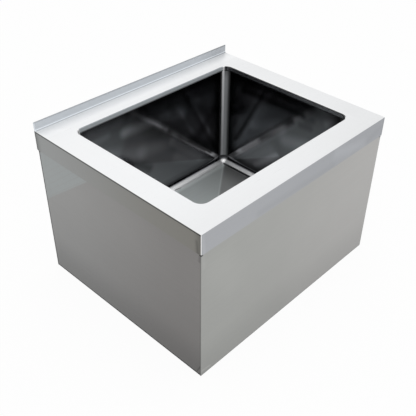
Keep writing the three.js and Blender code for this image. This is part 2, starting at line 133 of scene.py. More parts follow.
def eased(outline: Sequence[Point], radius: float, steps: int = 3) -> list[Point]:
    """Rounds the corners of a closed outline, except those on the axis.

    Args:
        outline: corners in order.
        radius: radius of the rounding, made smaller where an edge is too short for it.
        steps: straight runs in each rounding.

    Returns:
        The rounded outline.
    """
    rounded: list[Point] = []
    for index, corner in enumerate(outline):
        here = Vector(corner)
        back = Vector(outline[index - 1]) - here
        ahead = Vector(outline[(index + 1) % len(outline)]) - here
        half = back.angle(ahead) / 2
        if corner[0] == 0 or half > math.radians(86):
            rounded.append(corner)
            continue
        reach = min(radius / math.tan(half), 0.45 * back.length, 0.45 * ahead.length)
        turn = reach * math.tan(half)
        middle = here + (back.normalized() + ahead.normalized()).normalized() * (turn / math.sin(half))
        first = here + back.normalized() * reach - middle
        last = here + ahead.normalized() * reach - middle
        swing = first.angle_signed(last)
        for step in range(steps + 1):
            angle = -swing * step / steps
            spoke = Vector((
                first.x * math.cos(angle) - first.y * math.sin(angle),
                first.x * math.sin(angle) + first.y * math.cos(angle),
            ))
            rounded.append(tuple(middle + spoke))
    return rounded


def band(inner: float, outer: float, low: float, high: float) -> list[Point]:
    """An upright rectangle, anticlockwise: the section of a flat ring, or of a disc where inner is 0."""
    return [(inner, low), (outer, low), (outer, high), (inner, high)]


def rounded_rectangle(
    half_x: float, half_y: float, radius: float, height: float, steps: int, side: int = 1
) -> Ring:
    """A level ring in the shape of a rounded rectangle, anticlockwise from the right.

    Args:
        half_x: half its length.
        half_y: half its width.
        radius: corner radius.
        height: its height.
        steps: straight runs in each corner.
        side: straight runs along each side.

    Returns:
        The ring, always with the same number of points for the same steps.
    """
    ring: Ring = []
    for quarter, (sign_x, sign_y) in enumerate([(1, 1), (-1, 1), (-1, -1), (1, -1)]):
        centre = (sign_x * (half_x - radius), sign_y * (half_y - radius))
        corner = arc(centre, radius, quarter * 90, quarter * 90 + 90, steps)
        if ring:
            ring += between(ring[-1], (*corner[0], height), side)
        ring += [(x, y, height) for x, y in corner]
    return ring + between(ring[-1], ring[0], side)


def between(start: Sequence[float], end: Sequence[float], runs: int) -> Ring:
    """Points that split a straight line into equal runs, both ends left out."""
    return [tuple(Vector(start).lerp(Vector(end), run / runs)) for run in range(1, runs)]


# ---------------------------------------------------------------- solids


def settle(thing: bpy.types.Object) -> None:
    """Makes what the modifiers give into the object's own plain mesh, and takes the modifiers off."""
    depsgraph = bpy.context.evaluated_depsgraph_get()
    made = bpy.data.meshes.new_from_object(thing.evaluated_get(depsgraph), depsgraph=depsgraph)
    thing.modifiers.clear()
    old, thing.data = thing.data, made
    bpy.data.meshes.remove(old)


def linked(name: str, mesh: bpy.types.Mesh) -> bpy.types.Object:
    """A new object in the scene with this mesh."""
    thing = bpy.data.objects.new(name, mesh)
    bpy.context.scene.collection.objects.link(thing)
    return thing


class Solid:
    """A closed mesh in the making, in millimetres."""

    def __init__(self, vertices: Sequence[Sequence[float]], faces: Sequence[Sequence[int]]) -> None:
        """Makes the mesh, with its doubles merged and its faces outwards."""
        mesh = bpy.data.meshes.new("solid")
        mesh.from_pydata([tuple(v) for v in vertices], [], faces)
        self.thing = linked("solid", mesh)
        self.tidy()

    @classmethod
    def of(cls, thing: bpy.types.Object) -> "Solid":
        """Takes over an object that a node tree made."""
        solid = cls.__new__(cls)
        solid.thing = thing
        solid.tidy()
        return solid

    @classmethod
    def lofted(cls, rings: Sequence[Ring], closed: bool) -> "Solid":
        """A skin over rings of equal length.

        Args:
            rings: the rings in order.
            closed: whether the last ring joins the first; otherwise both ends are capped.

        Returns:
            The solid.
        """
        size = len(rings[0])
        faces: list[list[int]] = []
        for span in range(len(rings) if closed else len(rings) - 1):
            low, high = span * size, (span + 1) % len(rings) * size
            faces += [[low + i, low + (i + 1) % size, high + (i + 1) % size, high + i] for i in range(size)]
        if not closed:
            top = (len(rings) - 1) * size
            faces += [list(range(size))[::-1], [top + i for i in range(size)]]
        return cls([point for ring in rings for point in ring], faces)

    @classmethod
    def turned(cls, outline: Sequence[Point], steps: int = 96) -> "Solid":
        """A piece turned round the upright axis.

        Args:
            outline: closed outline of (radius, height) pairs, or one that starts and ends on the axis.
            steps: facets round the axis.

        Returns:
            The solid.
        """
        turns = [math.tau * step / steps for step in range(steps)]
        rings = [[(r * math.cos(a), r * math.sin(a), z) for a in turns] for r, z in outline]
        return cls.lofted(rings, outline[0][0] != 0)

    @classmethod
    def prism(cls, outline: Sequence[Point], low: float, high: float) -> "Solid":
        """An upright prism over a flat outline, between two heights."""
        return cls.lofted([[(x, y, z) for x, y in outline] for z in (low, high)], False)

    @classmethod
    def block(cls, low: Sequence[float], high: Sequence[float]) -> "Solid":
        """A box between two corners, used for cutting and joining."""
        return cls.prism(band(low[0], high[0], low[1], high[1]), low[2], high[2])

    @classmethod
    def hexagon(cls, radius: float, low: float, high: float, chamfer: Point, steps: int) -> "Solid":
        """The outside of a hexagon nut, with its corners turned off.

        Args:
            radius: over its corners.
            low: its underside.
            high: its top.
            chamfer: how far the turning reaches in, and how far down.
            steps: facets of the turning.

        Returns:
            The solid.
        """
        angles = [math.tau * corner / 6 for corner in range(6)]
        nut = cls.prism([(radius * math.sin(a), radius * math.cos(a)) for a in angles], low, high)
        inset, rise = chamfer
        easing = [
            (0, low), (radius - inset, low), (radius, low + rise),
            (radius, high - rise), (radius - inset, high), (0, high),
        ]
        return nut.keep(cls.turned(easing, steps))

    def tidy(self) -> None:
        """Merges doubles, drops faces of no area and turns the skin outwards."""
        skin = bmesh.new()
        skin.from_mesh(self.thing.data)
        bmesh.ops.remove_doubles(skin, verts=skin.verts, dist=MERGED)
        bmesh.ops.dissolve_degenerate(skin, edges=skin.edges, dist=SLIVER)
        if skin.calc_volume(signed=True) < 0:
            bmesh.ops.reverse_faces(skin, faces=skin.faces)
        skin.to_mesh(self.thing.data)
        skin.free()

    def moved(self, place: Matrix) -> "Solid":
        """The same solid, turned and moved."""
        self.thing.data.transform(place)
        return self

    def _with(self, other: "Solid", operation: str) -> "Solid":
        """Joins or cuts with another solid, which is used up."""
        for solver in ("MANIFOLD", "EXACT"):
            modifier = self.thing.modifiers.new(operation, "BOOLEAN")
            modifier.operation, modifier.object, modifier.solver = operation, other.thing, solver
            depsgraph = bpy.context.evaluated_depsgraph_get()
            if len(self.thing.evaluated_get(depsgraph).data.polygons) and not self._unchanged():
                break
            self.thing.modifiers.clear()
        settle(self.thing)
        spare = other.thing.data
        bpy.data.objects.remove(other.thing)
        bpy.data.meshes.remove(spare)
        return self

    def _unchanged(self) -> bool:
        """Whether the modifier left the mesh exactly as it was."""
        depsgraph = bpy.context.evaluated_depsgraph_get()
        old, made = self.thing.data, self.thing.evaluated_get(depsgraph).data
        return (len(made.vertices), len(made.edges)) == (len(old.vertices), len(old.edges))

    def join(self, other: "Solid") -> "Solid":
        """Both solids as one."""
        return self._with(other, "UNION")

    def cut(self, other: "Solid") -> "Solid":
        """This solid without the other."""
        return self._with(other, "DIFFERENCE")

    def keep(self, other: "Solid") -> "Solid":
        """What lies inside both."""
        return self._with(other, "INTERSECT")

    def piece(
        self, name: str, body: Body, slot: Slot, finish: bpy.types.Material, node: str
    ) -> bpy.types.Object:
        """Finishes the solid as a shown piece that stands for a node of the frame.

        Args:
            name: its name in the scene.
            body: what it rides on.
            slot: not used.
            finish: its material.
            node: the frame's node that it stands for.

        Returns:
            The finished object, in metres.
        """
        self.tidy()
        mesh = self.thing.data
        mesh.transform(Matrix.Scale(MM, 4))
        mesh.shade_smooth()
        mesh.set_sharp_from_angle(angle=SHARP)
        weighted = self.thing.modifiers.new("flats", "WEIGHTED_NORMAL")
        weighted.mode, weighted.weight, weighted.keep_sharp = "FACE_AREA_WITH_ANGLE", 100, True
        settle(self.thing)
        self.thing.data.materials.clear()
        self.thing.data.materials.append(finish)
        self.thing.name = self.thing.data.name = name
        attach(self.thing, body.value)
        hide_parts(node)
        log.info("%s: %d faces for %s", name, len(self.thing.data.polygons), node)
        return self.thing


# ---------------------------------------------------------------- node trees


class NodeWriter:
    """Writes nodes into one tree."""

    def __init__(self, tree: bpy.types.NodeTree) -> None:
        """Starts on a tree."""
        self.tree = tree

    def node(
        self,
        kind: str,
        settings: dict[str, Any] | None = None,
        values: dict[int | str, Any] | None = None,
    ) -> bpy.types.Node:
        """Adds a node.

        Args:
            kind: the node's type.
            settings: its own properties, set before its sockets.
            values: constants or signals for its inputs, by name or place.

        Returns:
            The node.
        """
        made = self.tree.nodes.new(kind)
        for label, value in (settings or {}).items():
            setattr(made, label, value)
        for label, value in (values or {}).items():
            self.feed(made.inputs[label], value)
        return made

    def feed(self, socket: bpy.types.NodeSocket, value: Any) -> None:
        """Gives an input a signal, a number, a vector or a colour."""
        if isinstance(value, Signal):
            self.tree.links.new(value.socket, socket)
        elif socket.type == "RGBA" and len(value) == 3:
            socket.default_value = (*value, 1.0)
        else:
            socket.default_value = value


def operator(operation: str, swapped: bool = False) -> Callable[..., "Signal"]:
    """A method of Signal that writes one Math node, with its values swapped for the right-hand operators."""

    def method(signal: "Signal", *others: Any) -> "Signal":
        """The node over this signal and the others."""
        values = (signal, *others)
        return signal.sum(operation, *(values[::-1] if swapped else values))

    return method


@dataclass(frozen=True)
class Signal:
    """What flows out of a socket, written into ordinary sums."""

    writer: NodeWriter
    socket: bpy.types.NodeSocket

    __add__, __radd__ = operator("ADD"), operator("ADD", True)
    __sub__, __rsub__ = operator("SUBTRACT"), operator("SUBTRACT", True)
    __mul__, __rmul__ = operator("MULTIPLY"), operator("MULTIPLY", True)
    __truediv__, __pow__, __abs__ = operator("DIVIDE"), operator("POWER"), operator("ABSOLUTE")
    most, least = operator("MAXIMUM"), operator("MINIMUM")

    def sum(self, operation: str, *values: Any) -> "Signal":
        """A Math node over these values."""
        made = self.writer.node("ShaderNodeMath", {"operation": operation}, dict(enumerate(values)))
        return Signal(self.writer, made.outputs[0])

    def length(self, other: "Signal") -> "Signal":
        """How far it is to a point that lies this far along one axis and the other far along the next."""
        return (self * self + other * other) ** 0.5

    def angle(self, other: "Signal") -> "Signal":
        """Degrees from the other's axis towards this one's."""
        return self.sum("ARCTAN2", self, other) * math.degrees(1)

    def rising(self, low: float, high: float) -> "Signal":
        """0 below low, 1 above high, and a soft step between; the other way round where high is below low."""
        made = self.writer.node(
            "ShaderNodeMapRange",
            {"interpolation_type": "SMOOTHSTEP"},
            {"Value": self, "From Min": low, "From Max": high, "To Min": 0.0, "To Max": 1.0},
        )
        return Signal(self.writer, made.outputs[0])

    def falling(self, low: float, high: float) -> "Signal":
        """1 below low, 0 above high, and a soft step between."""
        return self.rising(high, low)


class Coating(NodeWriter):
    """The node tree of one material."""

    def __init__(self, name: str) -> None:
        """Starts a material with its shader and the object's own coordinates in millimetres."""
        self.material = bpy.data.materials.new(name)
        self.material.use_nodes = True
        super().__init__(self.material.node_tree)
        self.tree.nodes.clear()
        self.shader = self.node("ShaderNodeBsdfPrincipled")
        self.node("ShaderNodeOutputMaterial", values={"Surface": Signal(self, self.shader.outputs[0])})
        object_place = Signal(self, self.node("ShaderNodeTexCoord").outputs["Object"])
        self.point = self.vector("SCALE", object_place, Scale=1 / MM)
        split = self.node("ShaderNodeSeparateXYZ", values={0: self.point})
        self.x, self.y, self.z = (Signal(self, out) for out in split.outputs)
        self.axes = {"x": self.x, "y": self.y, "z": self.z, "|x|": abs(self.x), "|y|": abs(self.y)}

    def vector(self, operation: str, *values: Any, **named: Any) -> Signal:
        """A Vector Math node over these values."""
        given = {**dict(enumerate(values)), **named}
        return Signal(self, self.node("ShaderNodeVectorMath", {"operation": operation}, given).outputs[0])

    def set(self, **values: Any) -> None:
        """Sets the shader's inputs, written with _ for spaces."""
        for label, value in values.items():
            self.feed(self.shader.inputs[label.replace("_", " ")], value)

    def noise(
        self, cells: Sequence[float], detail: float = 2.0, rough: float = 0.5, at: Signal | None = None
    ) -> Signal:
        """Noise with so many cells for each millimetre along X, Y and Z."""
        place = self.vector("MULTIPLY", at or self.point, tuple(cells))
        given = {"Vector": place, "Scale": 1.0, "Detail": detail, "Roughness": rough}
        return Signal(self, self.node("ShaderNodeTexNoise", None, given).outputs[0])

    def blend(self, share: Any, first: Any, second: Any) -> Signal:
        """The first colour turning into the second as the share goes from 0 to 1."""
        made = self.node("ShaderNodeMix", {"data_type": "RGBA"}, {0: share, 6: first, 7: second})
        return Signal(self, made.outputs[2])

    def shaded(self, colour: Any, amount: Signal) -> Signal:
        """A colour made lighter or darker."""
        return self.vector("SCALE", colour, Scale=amount)

    def bump(self, height: Signal, depth: float, strength: float) -> None:
        """Raises the surface by a signal of 0 to 1, to a depth in millimetres."""
        given = {"Strength": strength, "Distance": depth * MM, "Height": height}
        self.set(Normal=Signal(self, self.node("ShaderNodeBump", None, given).outputs[0]))

    def within(self, *steps: Step) -> Signal:
        """Where all of these soft steps are complete."""
        return math.prod(self.axes[axis].rising(start, end) for axis, start, end in steps)

    def tinted(self, tints: Iterable[Tint]) -> Any:
        """1, with each tint added where its steps are complete."""
        total: Any = 1.0
        for amount, *steps in tints:
            total = self.within(*steps) * amount + total
        return total

    def layered(self, tints: Iterable[Tint]) -> Any:
        """1, made lighter or darker by each tint in turn."""
        return math.prod(self.tinted([tint]) for tint in tints)

    def stroke(self, across: Signal, up: Signal, start: Point, end: Point, width: float) -> Signal:
        """A soft line drawn between two points of a flat face.

        Args:
            across: the face's level coordinate.
            up: its upright coordinate.
            start: one end of the line.
            end: the other end.
            width: distance at which the line has faded out.

        Returns:
            1 on the line, 0 away from it.
        """
        run, rise = end[0] - start[0], end[1] - start[1]
        share = ((across - start[0]) * run + (up - start[1]) * rise) / (run * run + rise * rise)
        share = share.most(0.0).least(1.0)
        return (across - start[0] - share * run).length(up - start[1] - share * rise).falling(0.0, width)

    def stroked_tone(self, across: Signal, up: Signal, tone_strokes: Iterable[ToneStroke]) -> Any:
        """How much lighter or darker a face is along its strokes: painted reflections and painted shade on the
        bowl's walls, lighter and darker streaks elsewhere.

        Args:
            across: the face's level coordinate.
            up: its upright coordinate.
            tone_strokes: the strokes on it.

        Returns:
            The sum of the strokes, 0 away from them.
        """
        total: Any = 0.0
        for start, end, width, strength in tone_strokes:
            total = self.stroke(across, up, start, end, width) * strength + total
        return total


class GeometryTree(NodeWriter):
    """A Geometry Nodes tree with named inputs, which ends in Realize Instances and Set Material."""

    def __init__(self, name: str, inputs: dict[str, str]) -> None:
        """Starts a tree with these inputs and one for the finish."""
        super().__init__(bpy.data.node_groups.new(name, "GeometryNodeTree"))
        sockets = self.tree.interface
        self.keys = {
            label: sockets.new_socket(label, in_out="INPUT", socket_type=kind).identifier
            for label, kind in {**inputs, "Finish": "NodeSocketMaterial"}.items()
        }
        sockets.new_socket("Geometry", in_out="OUTPUT", socket_type="NodeSocketGeometry")
        self.source = self.tree.nodes.new("NodeGroupInput")

    def given(self, label: str) -> Signal:
        """One of the tree's inputs."""
        return Signal(self, self.source.outputs[label])

    def shape(self, kind: str, settings: dict[str, Any] | None = None, **values: Any) -> Signal:
        """A node whose first output is what matters, with its inputs by name, written with _ for spaces."""
        given = {label.replace("_", " "): value for label, value in values.items()}
        return Signal(self, self.node(kind, settings, given).outputs[0])

    def close(self, geometry: Signal) -> None:
        """Ends the tree."""
        real = self.shape("GeometryNodeRealizeInstances", Geometry=geometry)
        finished = self.shape("GeometryNodeSetMaterial", Geometry=real, Material=self.given("Finish"))
        self.node("NodeGroupOutput", values={0: finished})

    def make(self, finish: bpy.types.Material, **values: Any) -> Solid:
        """Runs the tree into a plain solid.

        Args:
            finish: its material.
            values: the tree's other inputs, by name with _ for spaces.

        Returns:
            The solid.
        """
        thing = linked("made", bpy.data.meshes.new("made"))
        modifier = thing.modifiers.new(self.tree.name, "NODES")
        modifier.node_group = self.tree
        modifier[self.keys["Finish"]] = finish
        for label, value in values.items():
            modifier[self.keys[label.replace("_", " ")]] = value.thing if isinstance(value, Solid) else value
        settle(thing)
        for value in values.values():
            if isinstance(value, Solid):
                bpy.data.objects.remove(value.thing)
        return Solid.of(thing)


class FoldedSheet(GeometryTree):
    """Sheet folded to one section all along a straight line."""

    def __init__(self) -> None:
        """Writes the tree: a section, swept along X on both sides of the middle."""
        super().__init__("folded_sheet", {"Section": "NodeSocketObject", "Length": "NodeSocketFloat"})
        half = self.given("Length") * 0.5
        start = self.shape("ShaderNodeCombineXYZ", X=half * -1.0)
        end = self.shape("ShaderNodeCombineXYZ", X=half)
        line = self.shape("GeometryNodeCurvePrimitiveLine", Start=start, End=end)
        info = self.node("GeometryNodeObjectInfo", None, {"Object": self.given("Section")})
        section = self.shape("GeometryNodeMeshToCurve", Mesh=Signal(self, info.outputs["Geometry"]))
        self.close(self.shape("GeometryNodeCurveToMesh", Curve=line, Profile_Curve=section, Fill_Caps=True))

    def fold(self, outline: Sequence[Point], length: float, finish: bpy.types.Material) -> Solid:
        """Folds sheet to a section.

        Args:
            outline: closed outline of the section, as (Y, Z) pairs.
            length: how long the sheet is, along X.
            finish: its material.

        Returns:
            The solid.
        """
        mesh = bpy.data.meshes.new("section")
        count = len(outline)
        edges = [(i, (i + 1) % count) for i in range(count)]
        mesh.from_pydata([(-y, -z, 0.0) for y, z in outline], edges, [])
        section = linked("section", mesh)
        made = self.make(finish, Section=section, Length=length)
        bpy.data.objects.remove(section)
        return made


class RoundRow(GeometryTree):
    """Copies of one shape, spread evenly round the upright axis."""

    def __init__(self) -> None:
        """Writes the tree: a shape and a count."""
        super().__init__("round_row", {"Shape": "NodeSocketObject", "Count": "NodeSocketInt"})
        count = self.given("Count")
        points = self.shape("GeometryNodePoints", Count=count)
        turn = self.shape("GeometryNodeInputIndex") * math.tau / count
        info = self.node("GeometryNodeObjectInfo", None, {"Object": self.given("Shape")})
        self.close(self.shape(
            "GeometryNodeInstanceOnPoints",
            Points=points,
            Instance=Signal(self, info.outputs["Geometry"]),
            Rotation=self.shape("ShaderNodeCombineXYZ", Z=turn),
        ))


class Thread(GeometryTree):
    """A round thread groove that climbs the upright axis."""

    def __init__(self) -> None:
        """Writes the tree: the radius it climbs at, its turns, its rise and the groove's own radius."""
        super().__init__("thread", {
            "Radius": "NodeSocketFloat",
            "Turns": "NodeSocketFloat",
            "Rise": "NodeSocketFloat",
            "Groove": "NodeSocketFloat",
        })
        radius = self.given("Radius")
        spiral = self.shape(
            "GeometryNodeCurveSpiral",
            Resolution=72,
            Rotations=self.given("Turns"),
            Start_Radius=radius,
            End_Radius=radius,
            Height=self.given("Rise"),
        )
        groove = self.shape("GeometryNodeCurvePrimitiveCircle", Resolution=6, Radius=self.given("Groove"))
        self.close(self.shape("GeometryNodeCurveToMesh", Curve=spiral, Profile_Curve=groove, Fill_Caps=True))


# ---------------------------------------------------------------- finishes


@dataclass(frozen=True)
class Brushed:
    """Bare steel sheet with a fine grain and a faint cloudiness."""

    colour: Colour
    grain: Grain
    roughness: float = 0.3
    contrast: float = 0.07
    cloud: float = 0.05
    depth: float = 0.02
    coarse: float = 0.22
    cloud_cells: float = 0.013
    gloss_grain: float = 0.12

    def tone(self, coat: Coating) -> Any:
        """The steel's colour, before its grain."""
        return self.colour

    def gloss(self, coat: Coating) -> Any:
        """The steel's roughness, before its grain."""
        return self.roughness

    def metal(self, coat: Coating) -> Any:
        """How much the steel mirrors; the rest scatters, as where it was ground or brushed hard."""
        return 1.0

    def wave(self, coat: Coating, streak: Signal) -> None:
        """Lets the grain catch the light."""
        coat.bump(streak, self.depth, 0.5)

    def material(self, name: str) -> bpy.types.Material:
        """The finish as a material."""
        coat = Coating(name)
        streak = coat.noise(self.grain.value, 3.0, 0.6)
        coarse = coat.noise([cells * self.coarse for cells in self.grain.value], 2.0, 0.7)
        cloud = coat.noise([self.cloud_cells] * 3, 3.0)
        light = 1.0 + (streak + coarse - 1.0) * self.contrast + (cloud - 0.5) * self.cloud
        coat.set(Base_Color=coat.shaded(self.tone(coat), light), Metallic=self.metal(coat))
        coat.set(Roughness=(streak - 0.5) * self.gloss_grain + self.gloss(coat))
        self.wave(coat, streak)
        return coat.material


@dataclass(frozen=True)
class RimSteel(Brushed):
    """The rim: a deck painted bright and aprons painted darker, as lit and shaded copies of one steel, and
    ground welds at the corners with painted highlights.
    """

    half: Point = (317.5, 266.7)
    opening: Point = (254.0, 203.2)
    cove: float = 21.0
    # Painted light and shade on the aprons, as shaded copies of the deck's steel: right and rear plain, the
    # front lighter towards its left end, the left darkest and darker towards its near end.
    hidden: Colour = (0.33, 0.333, 0.335)
    front: Colour = (0.335, 0.346, 0.368)
    front_end: Colour = (0.395, 0.405, 0.425)
    left_far: Colour = (0.265, 0.272, 0.270)
    left_near: Colour = (0.192, 0.187, 0.170)
    # Painted light and shade on the lip: the long sides are painted lighter than the short ones.
    lip: Colour = (0.42, 0.43, 0.45)
    lip_bright: Colour = (0.57, 0.61, 0.64)
    # Painted shade: the upturn is a darker copy of the deck's steel.
    upturn: Colour = (0.61, 0.645, 0.685)
    # Near-white of the weld beads on the lip and down the front upright corners: painted highlights.
    weld_and_highlight: Colour = (0.95, 0.95, 0.95)
    # A darker streak on the left apron near its front corner.
    left_strokes: tuple[ToneStroke, ...] = (
        ((-254.0, 384.0), (-258.0, 348.0), 6.0, -0.22),
    )
    # Lighter and darker streaks on the front apron.
    front_strokes: tuple[ToneStroke, ...] = (
        ((-314.0, 400.0), (-310.0, 352.0), 9.0, 0.12),
        ((120.0, 392.0), (230.0, 366.0), 26.0, 0.12),
        ((-150.0, 366.0), (110.0, 362.0), 16.0, -0.07),
        ((190.0, 358.0), (300.0, 378.0), 18.0, -0.06),
    )
    weld_angle: float = 60.0
    notch_angle: float = 42.0
    bead_width: Point = (4.0, 10.0)
    notch_dark: float = 0.6
    fold: Point = (1.0, 1.6)
    lip_past: Point = (2.0, 2.5)
    long_past: float = 0.6
    near_side: Point = (-0.06, 0.06)
    front_side: Point = (-10.0, 10.0)
    # Painted highlight down the welded front upright corners: where it is full and where it has faded out.
    corner_highlight: Point = (0.7, 1.4)
    # Painted shade on the left apron near the upright corners: where it is full, where it has faded out, and
    # how dark.
    corner_shade: Point = (4.0, 22.0)
    corner_shade_dark: float = 0.24
    rough: Point = (4.0, 12.0)
    rougher: float = 0.12
    # Painted highlight where the deck bends down into the opening.
    bend_light: float = 0.08
    lip_dull: float = 0.9
    deck_dull: float = 0.7
    deck_height: Step = ("z", 405.2, 406.0)
    bend_height: Step = ("z", 403.2, 404.4)
    bend_edges: tuple[Step, ...] = (("|x|", 259.0, 258.0), ("|y|", 208.2, 207.2))
    long_sides: Step = ("|y|", 197.2, 202.2)
    upturn_place: tuple[Step, ...] = (("y", 259.2, 262.7), ("z", 405.6, 406.4))
    # Painted light and shade on the deck: darker towards the right and the front, a lighter band and then
    # darker towards the upturn, and a darker right strip.
    deck_tints: tuple[Tint, ...] = (
        (-0.06, ("x", -100.0, 320.0)),
        (-0.09, ("y", -60.0, -330.0)),
        (0.05, ("y", 214.0, 230.0), ("y", 248.0, 232.0)),
        (-0.12, ("y", 244.0, 262.0)),
        (-0.03, ("x", 258.0, 270.0), ("y", -245.0, -185.0), ("y", 220.0, 160.0)),
    )
    # Painted light and shade on the upturn: a lighter band and a painted highlight line along its foot, a
    # lighter left end, painted shade at its top fold and foot bend, and darker towards its right end.
    upturn_tints: tuple[Tint, ...] = (
        (0.1, ("z", 406.2, 408.6), ("z", 413.6, 411.2)),
        (0.42, ("z", 407.4, 408.4), ("z", 410.2, 409.2)),
        (0.25, ("x", -315.0, -316.6)),
        (-0.2, ("z", 424.4, 426.9)),
        (-0.22, ("z", 426.9, 428.2)),
        (-0.4, ("z", 407.9, 406.4)),
        (-0.24, ("x", 180.0, 310.0)),
    )
    # Painted shade at the foot of the lip and along its top bend, deeper on the short sides.
    lip_tints: tuple[Tint, ...] = ((-0.75, ("z", 397.1, 395.5)), (-0.2, ("z", 404.0, 405.4)))
    dull_tints: tuple[Tint, ...] = ((-0.8, ("z", 403.4, 404.9)),)
    # Painted shade on the left apron: darker at its rear end, and a dark line just under the deck's edge.
    left_tints: tuple[Tint, ...] = ((-0.5, ("y", 262.7, 265.2)),)
    edge_tints: tuple[Tint, ...] = ((-0.9, ("z", 402.0, 403.2), ("z", 405.6, 404.4)),)

    def corner(self, coat: Coating, near: float, far: float) -> Signal:
        """1 within the near distance of an upright corner, 0 past the far one."""
        return (abs(coat.x) - self.half[0]).length(abs(coat.y) - self.half[1]).falling(near, far)

    def bent_in(self, coat: Coating) -> Signal:
        """Where the deck starts to bend down into the opening."""
        return coat.within(*self.bend_edges, self.bend_height)

    def level(self, coat: Coating) -> Signal:
        """Where the deck is, with the start of its bend."""
        return coat.within(self.deck_height).most(self.bent_in(coat))

    def corner_reach(self, coat: Coating) -> tuple[Signal, Signal]:
        """How far a point lies past the straight sides of the opening, along X and along Y."""
        sides = zip((coat.x, coat.y), self.opening)
        return tuple((abs(along) - half + self.cove).most(0.0) for along, half in sides)

    def bead(self, coat: Coating) -> tuple[Signal, Signal]:
        """The weld across the lip in each rounded corner, painted as a bright highlight, and the notch beside
        it, which is darker.
        """
        out_x, out_y = self.corner_reach(coat)
        turn = out_y.angle(out_x)
        angles = (self.weld_angle, self.notch_angle)
        return tuple(abs(turn - angle).falling(*self.bead_width) for angle in angles)

    def lip_masks(self, coat: Coating) -> tuple[Signal, Signal]:
        """Where the lip round the opening is, and its long sides, which mirror less and are painted lighter."""
        out_x, out_y = self.corner_reach(coat)
        bright = coat.within(self.long_sides)
        reach = [self.cove + past for past in self.lip_past]
        inside = (out_x.length(out_y) + bright * self.long_past).falling(*reach)
        near = (coat.x / self.opening[0] + coat.y / self.opening[1]).falling(*self.near_side)
        return inside * (1.0 - near * coat.within(self.bend_height)), bright

    def aprons(self, coat: Coating) -> Signal:
        """Colour of the folded edges, painted as shaded copies of the deck's steel, with painted shade that
        deepens towards the near corner.
        """
        (half_x, half_y), (start, end) = self.half, self.fold
        left = coat.x.falling(start - half_x, end - half_x)
        front = coat.y.falling(start - half_y, end - half_y)
        tone = coat.blend(coat.x.rising(-half_x, half_x), self.front_end, self.front)
        tone = coat.shaded(tone, coat.stroked_tone(coat.x, coat.z, self.front_strokes) + 1.0)
        # Painted shade near the upright corners, with the left apron's streaks.
        corner_shade = self.corner(coat, *self.corner_shade) * -self.corner_shade_dark
        corner_shade = corner_shade + coat.stroked_tone(coat.y, coat.z, self.left_strokes)
        side = coat.blend(coat.y.rising(-half_y, half_y), self.left_near, self.left_far)
        side = coat.shaded(side, corner_shade + coat.tinted(self.left_tints))
        side = coat.shaded(side, coat.tinted(self.edge_tints))
        return coat.blend(left, coat.blend(front, self.hidden, tone), side)

    def lip_tone(self, coat: Coating, bright: Signal) -> Signal:
        """Colour of the lip, with its welds painted as highlights.

        Args:
            coat: the rim's material.
            bright: where the lip is painted lighter.

        Returns:
            The colour.
        """
        # The weld beads are painted as bright highlights; the notch beside each is darker.
        weld_and_highlight, notch = self.bead(coat)
        dull = coat.shaded(self.lip, coat.tinted(self.dull_tints))
        tone = coat.shaded(coat.blend(bright, dull, self.lip_bright), coat.layered(self.lip_tints))
        return coat.blend(weld_and_highlight, coat.shaded(tone, 1.0 - notch * self.notch_dark), self.weld_and_highlight)

    def tone(self, coat: Coating) -> Signal:
        """Colour by the fold that a point is on: deck, aprons, lip and upturn are painted as lit and shaded
        copies of one steel.
        """
        level = self.level(coat)
        inside, bright = self.lip_masks(coat)
        # Painted highlight on the bend into the opening, and painted light and shade across the deck.
        bend = self.bent_in(coat) * (1.0 - coat.within(self.deck_height))
        deck = coat.shaded(self.colour, bend * self.bend_light + coat.tinted(self.deck_tints))
        tone = coat.blend(level, self.aprons(coat), deck)
        tone = coat.blend(inside, tone, self.lip_tone(coat, bright))
        upturn = coat.shaded(self.upturn, coat.tinted(self.upturn_tints))
        tone = coat.blend(coat.within(*self.upturn_place), tone, upturn)
        # Painted highlight down the front upright corners.
        corner_highlight = self.corner(coat, *self.corner_highlight) * (1.0 - level) * coat.y.falling(*self.front_side)
        return coat.blend(corner_highlight, tone, self.weld_and_highlight)

    def metal(self, coat: Coating) -> Signal:
        """Less of a mirror on the deck and along the lip."""
        inside, bright = self.lip_masks(coat)
        brushed = inside * bright.most(self.bead(coat)[0]) * self.lip_dull
        return 1.0 - brushed.most(self.level(coat) * (1.0 - inside) * self.deck_dull)

    def gloss(self, coat: Coating) -> Signal:
        """Rougher where the corners were ground."""
        return self.corner(coat, *self.rough) * self.rougher + self.roughness


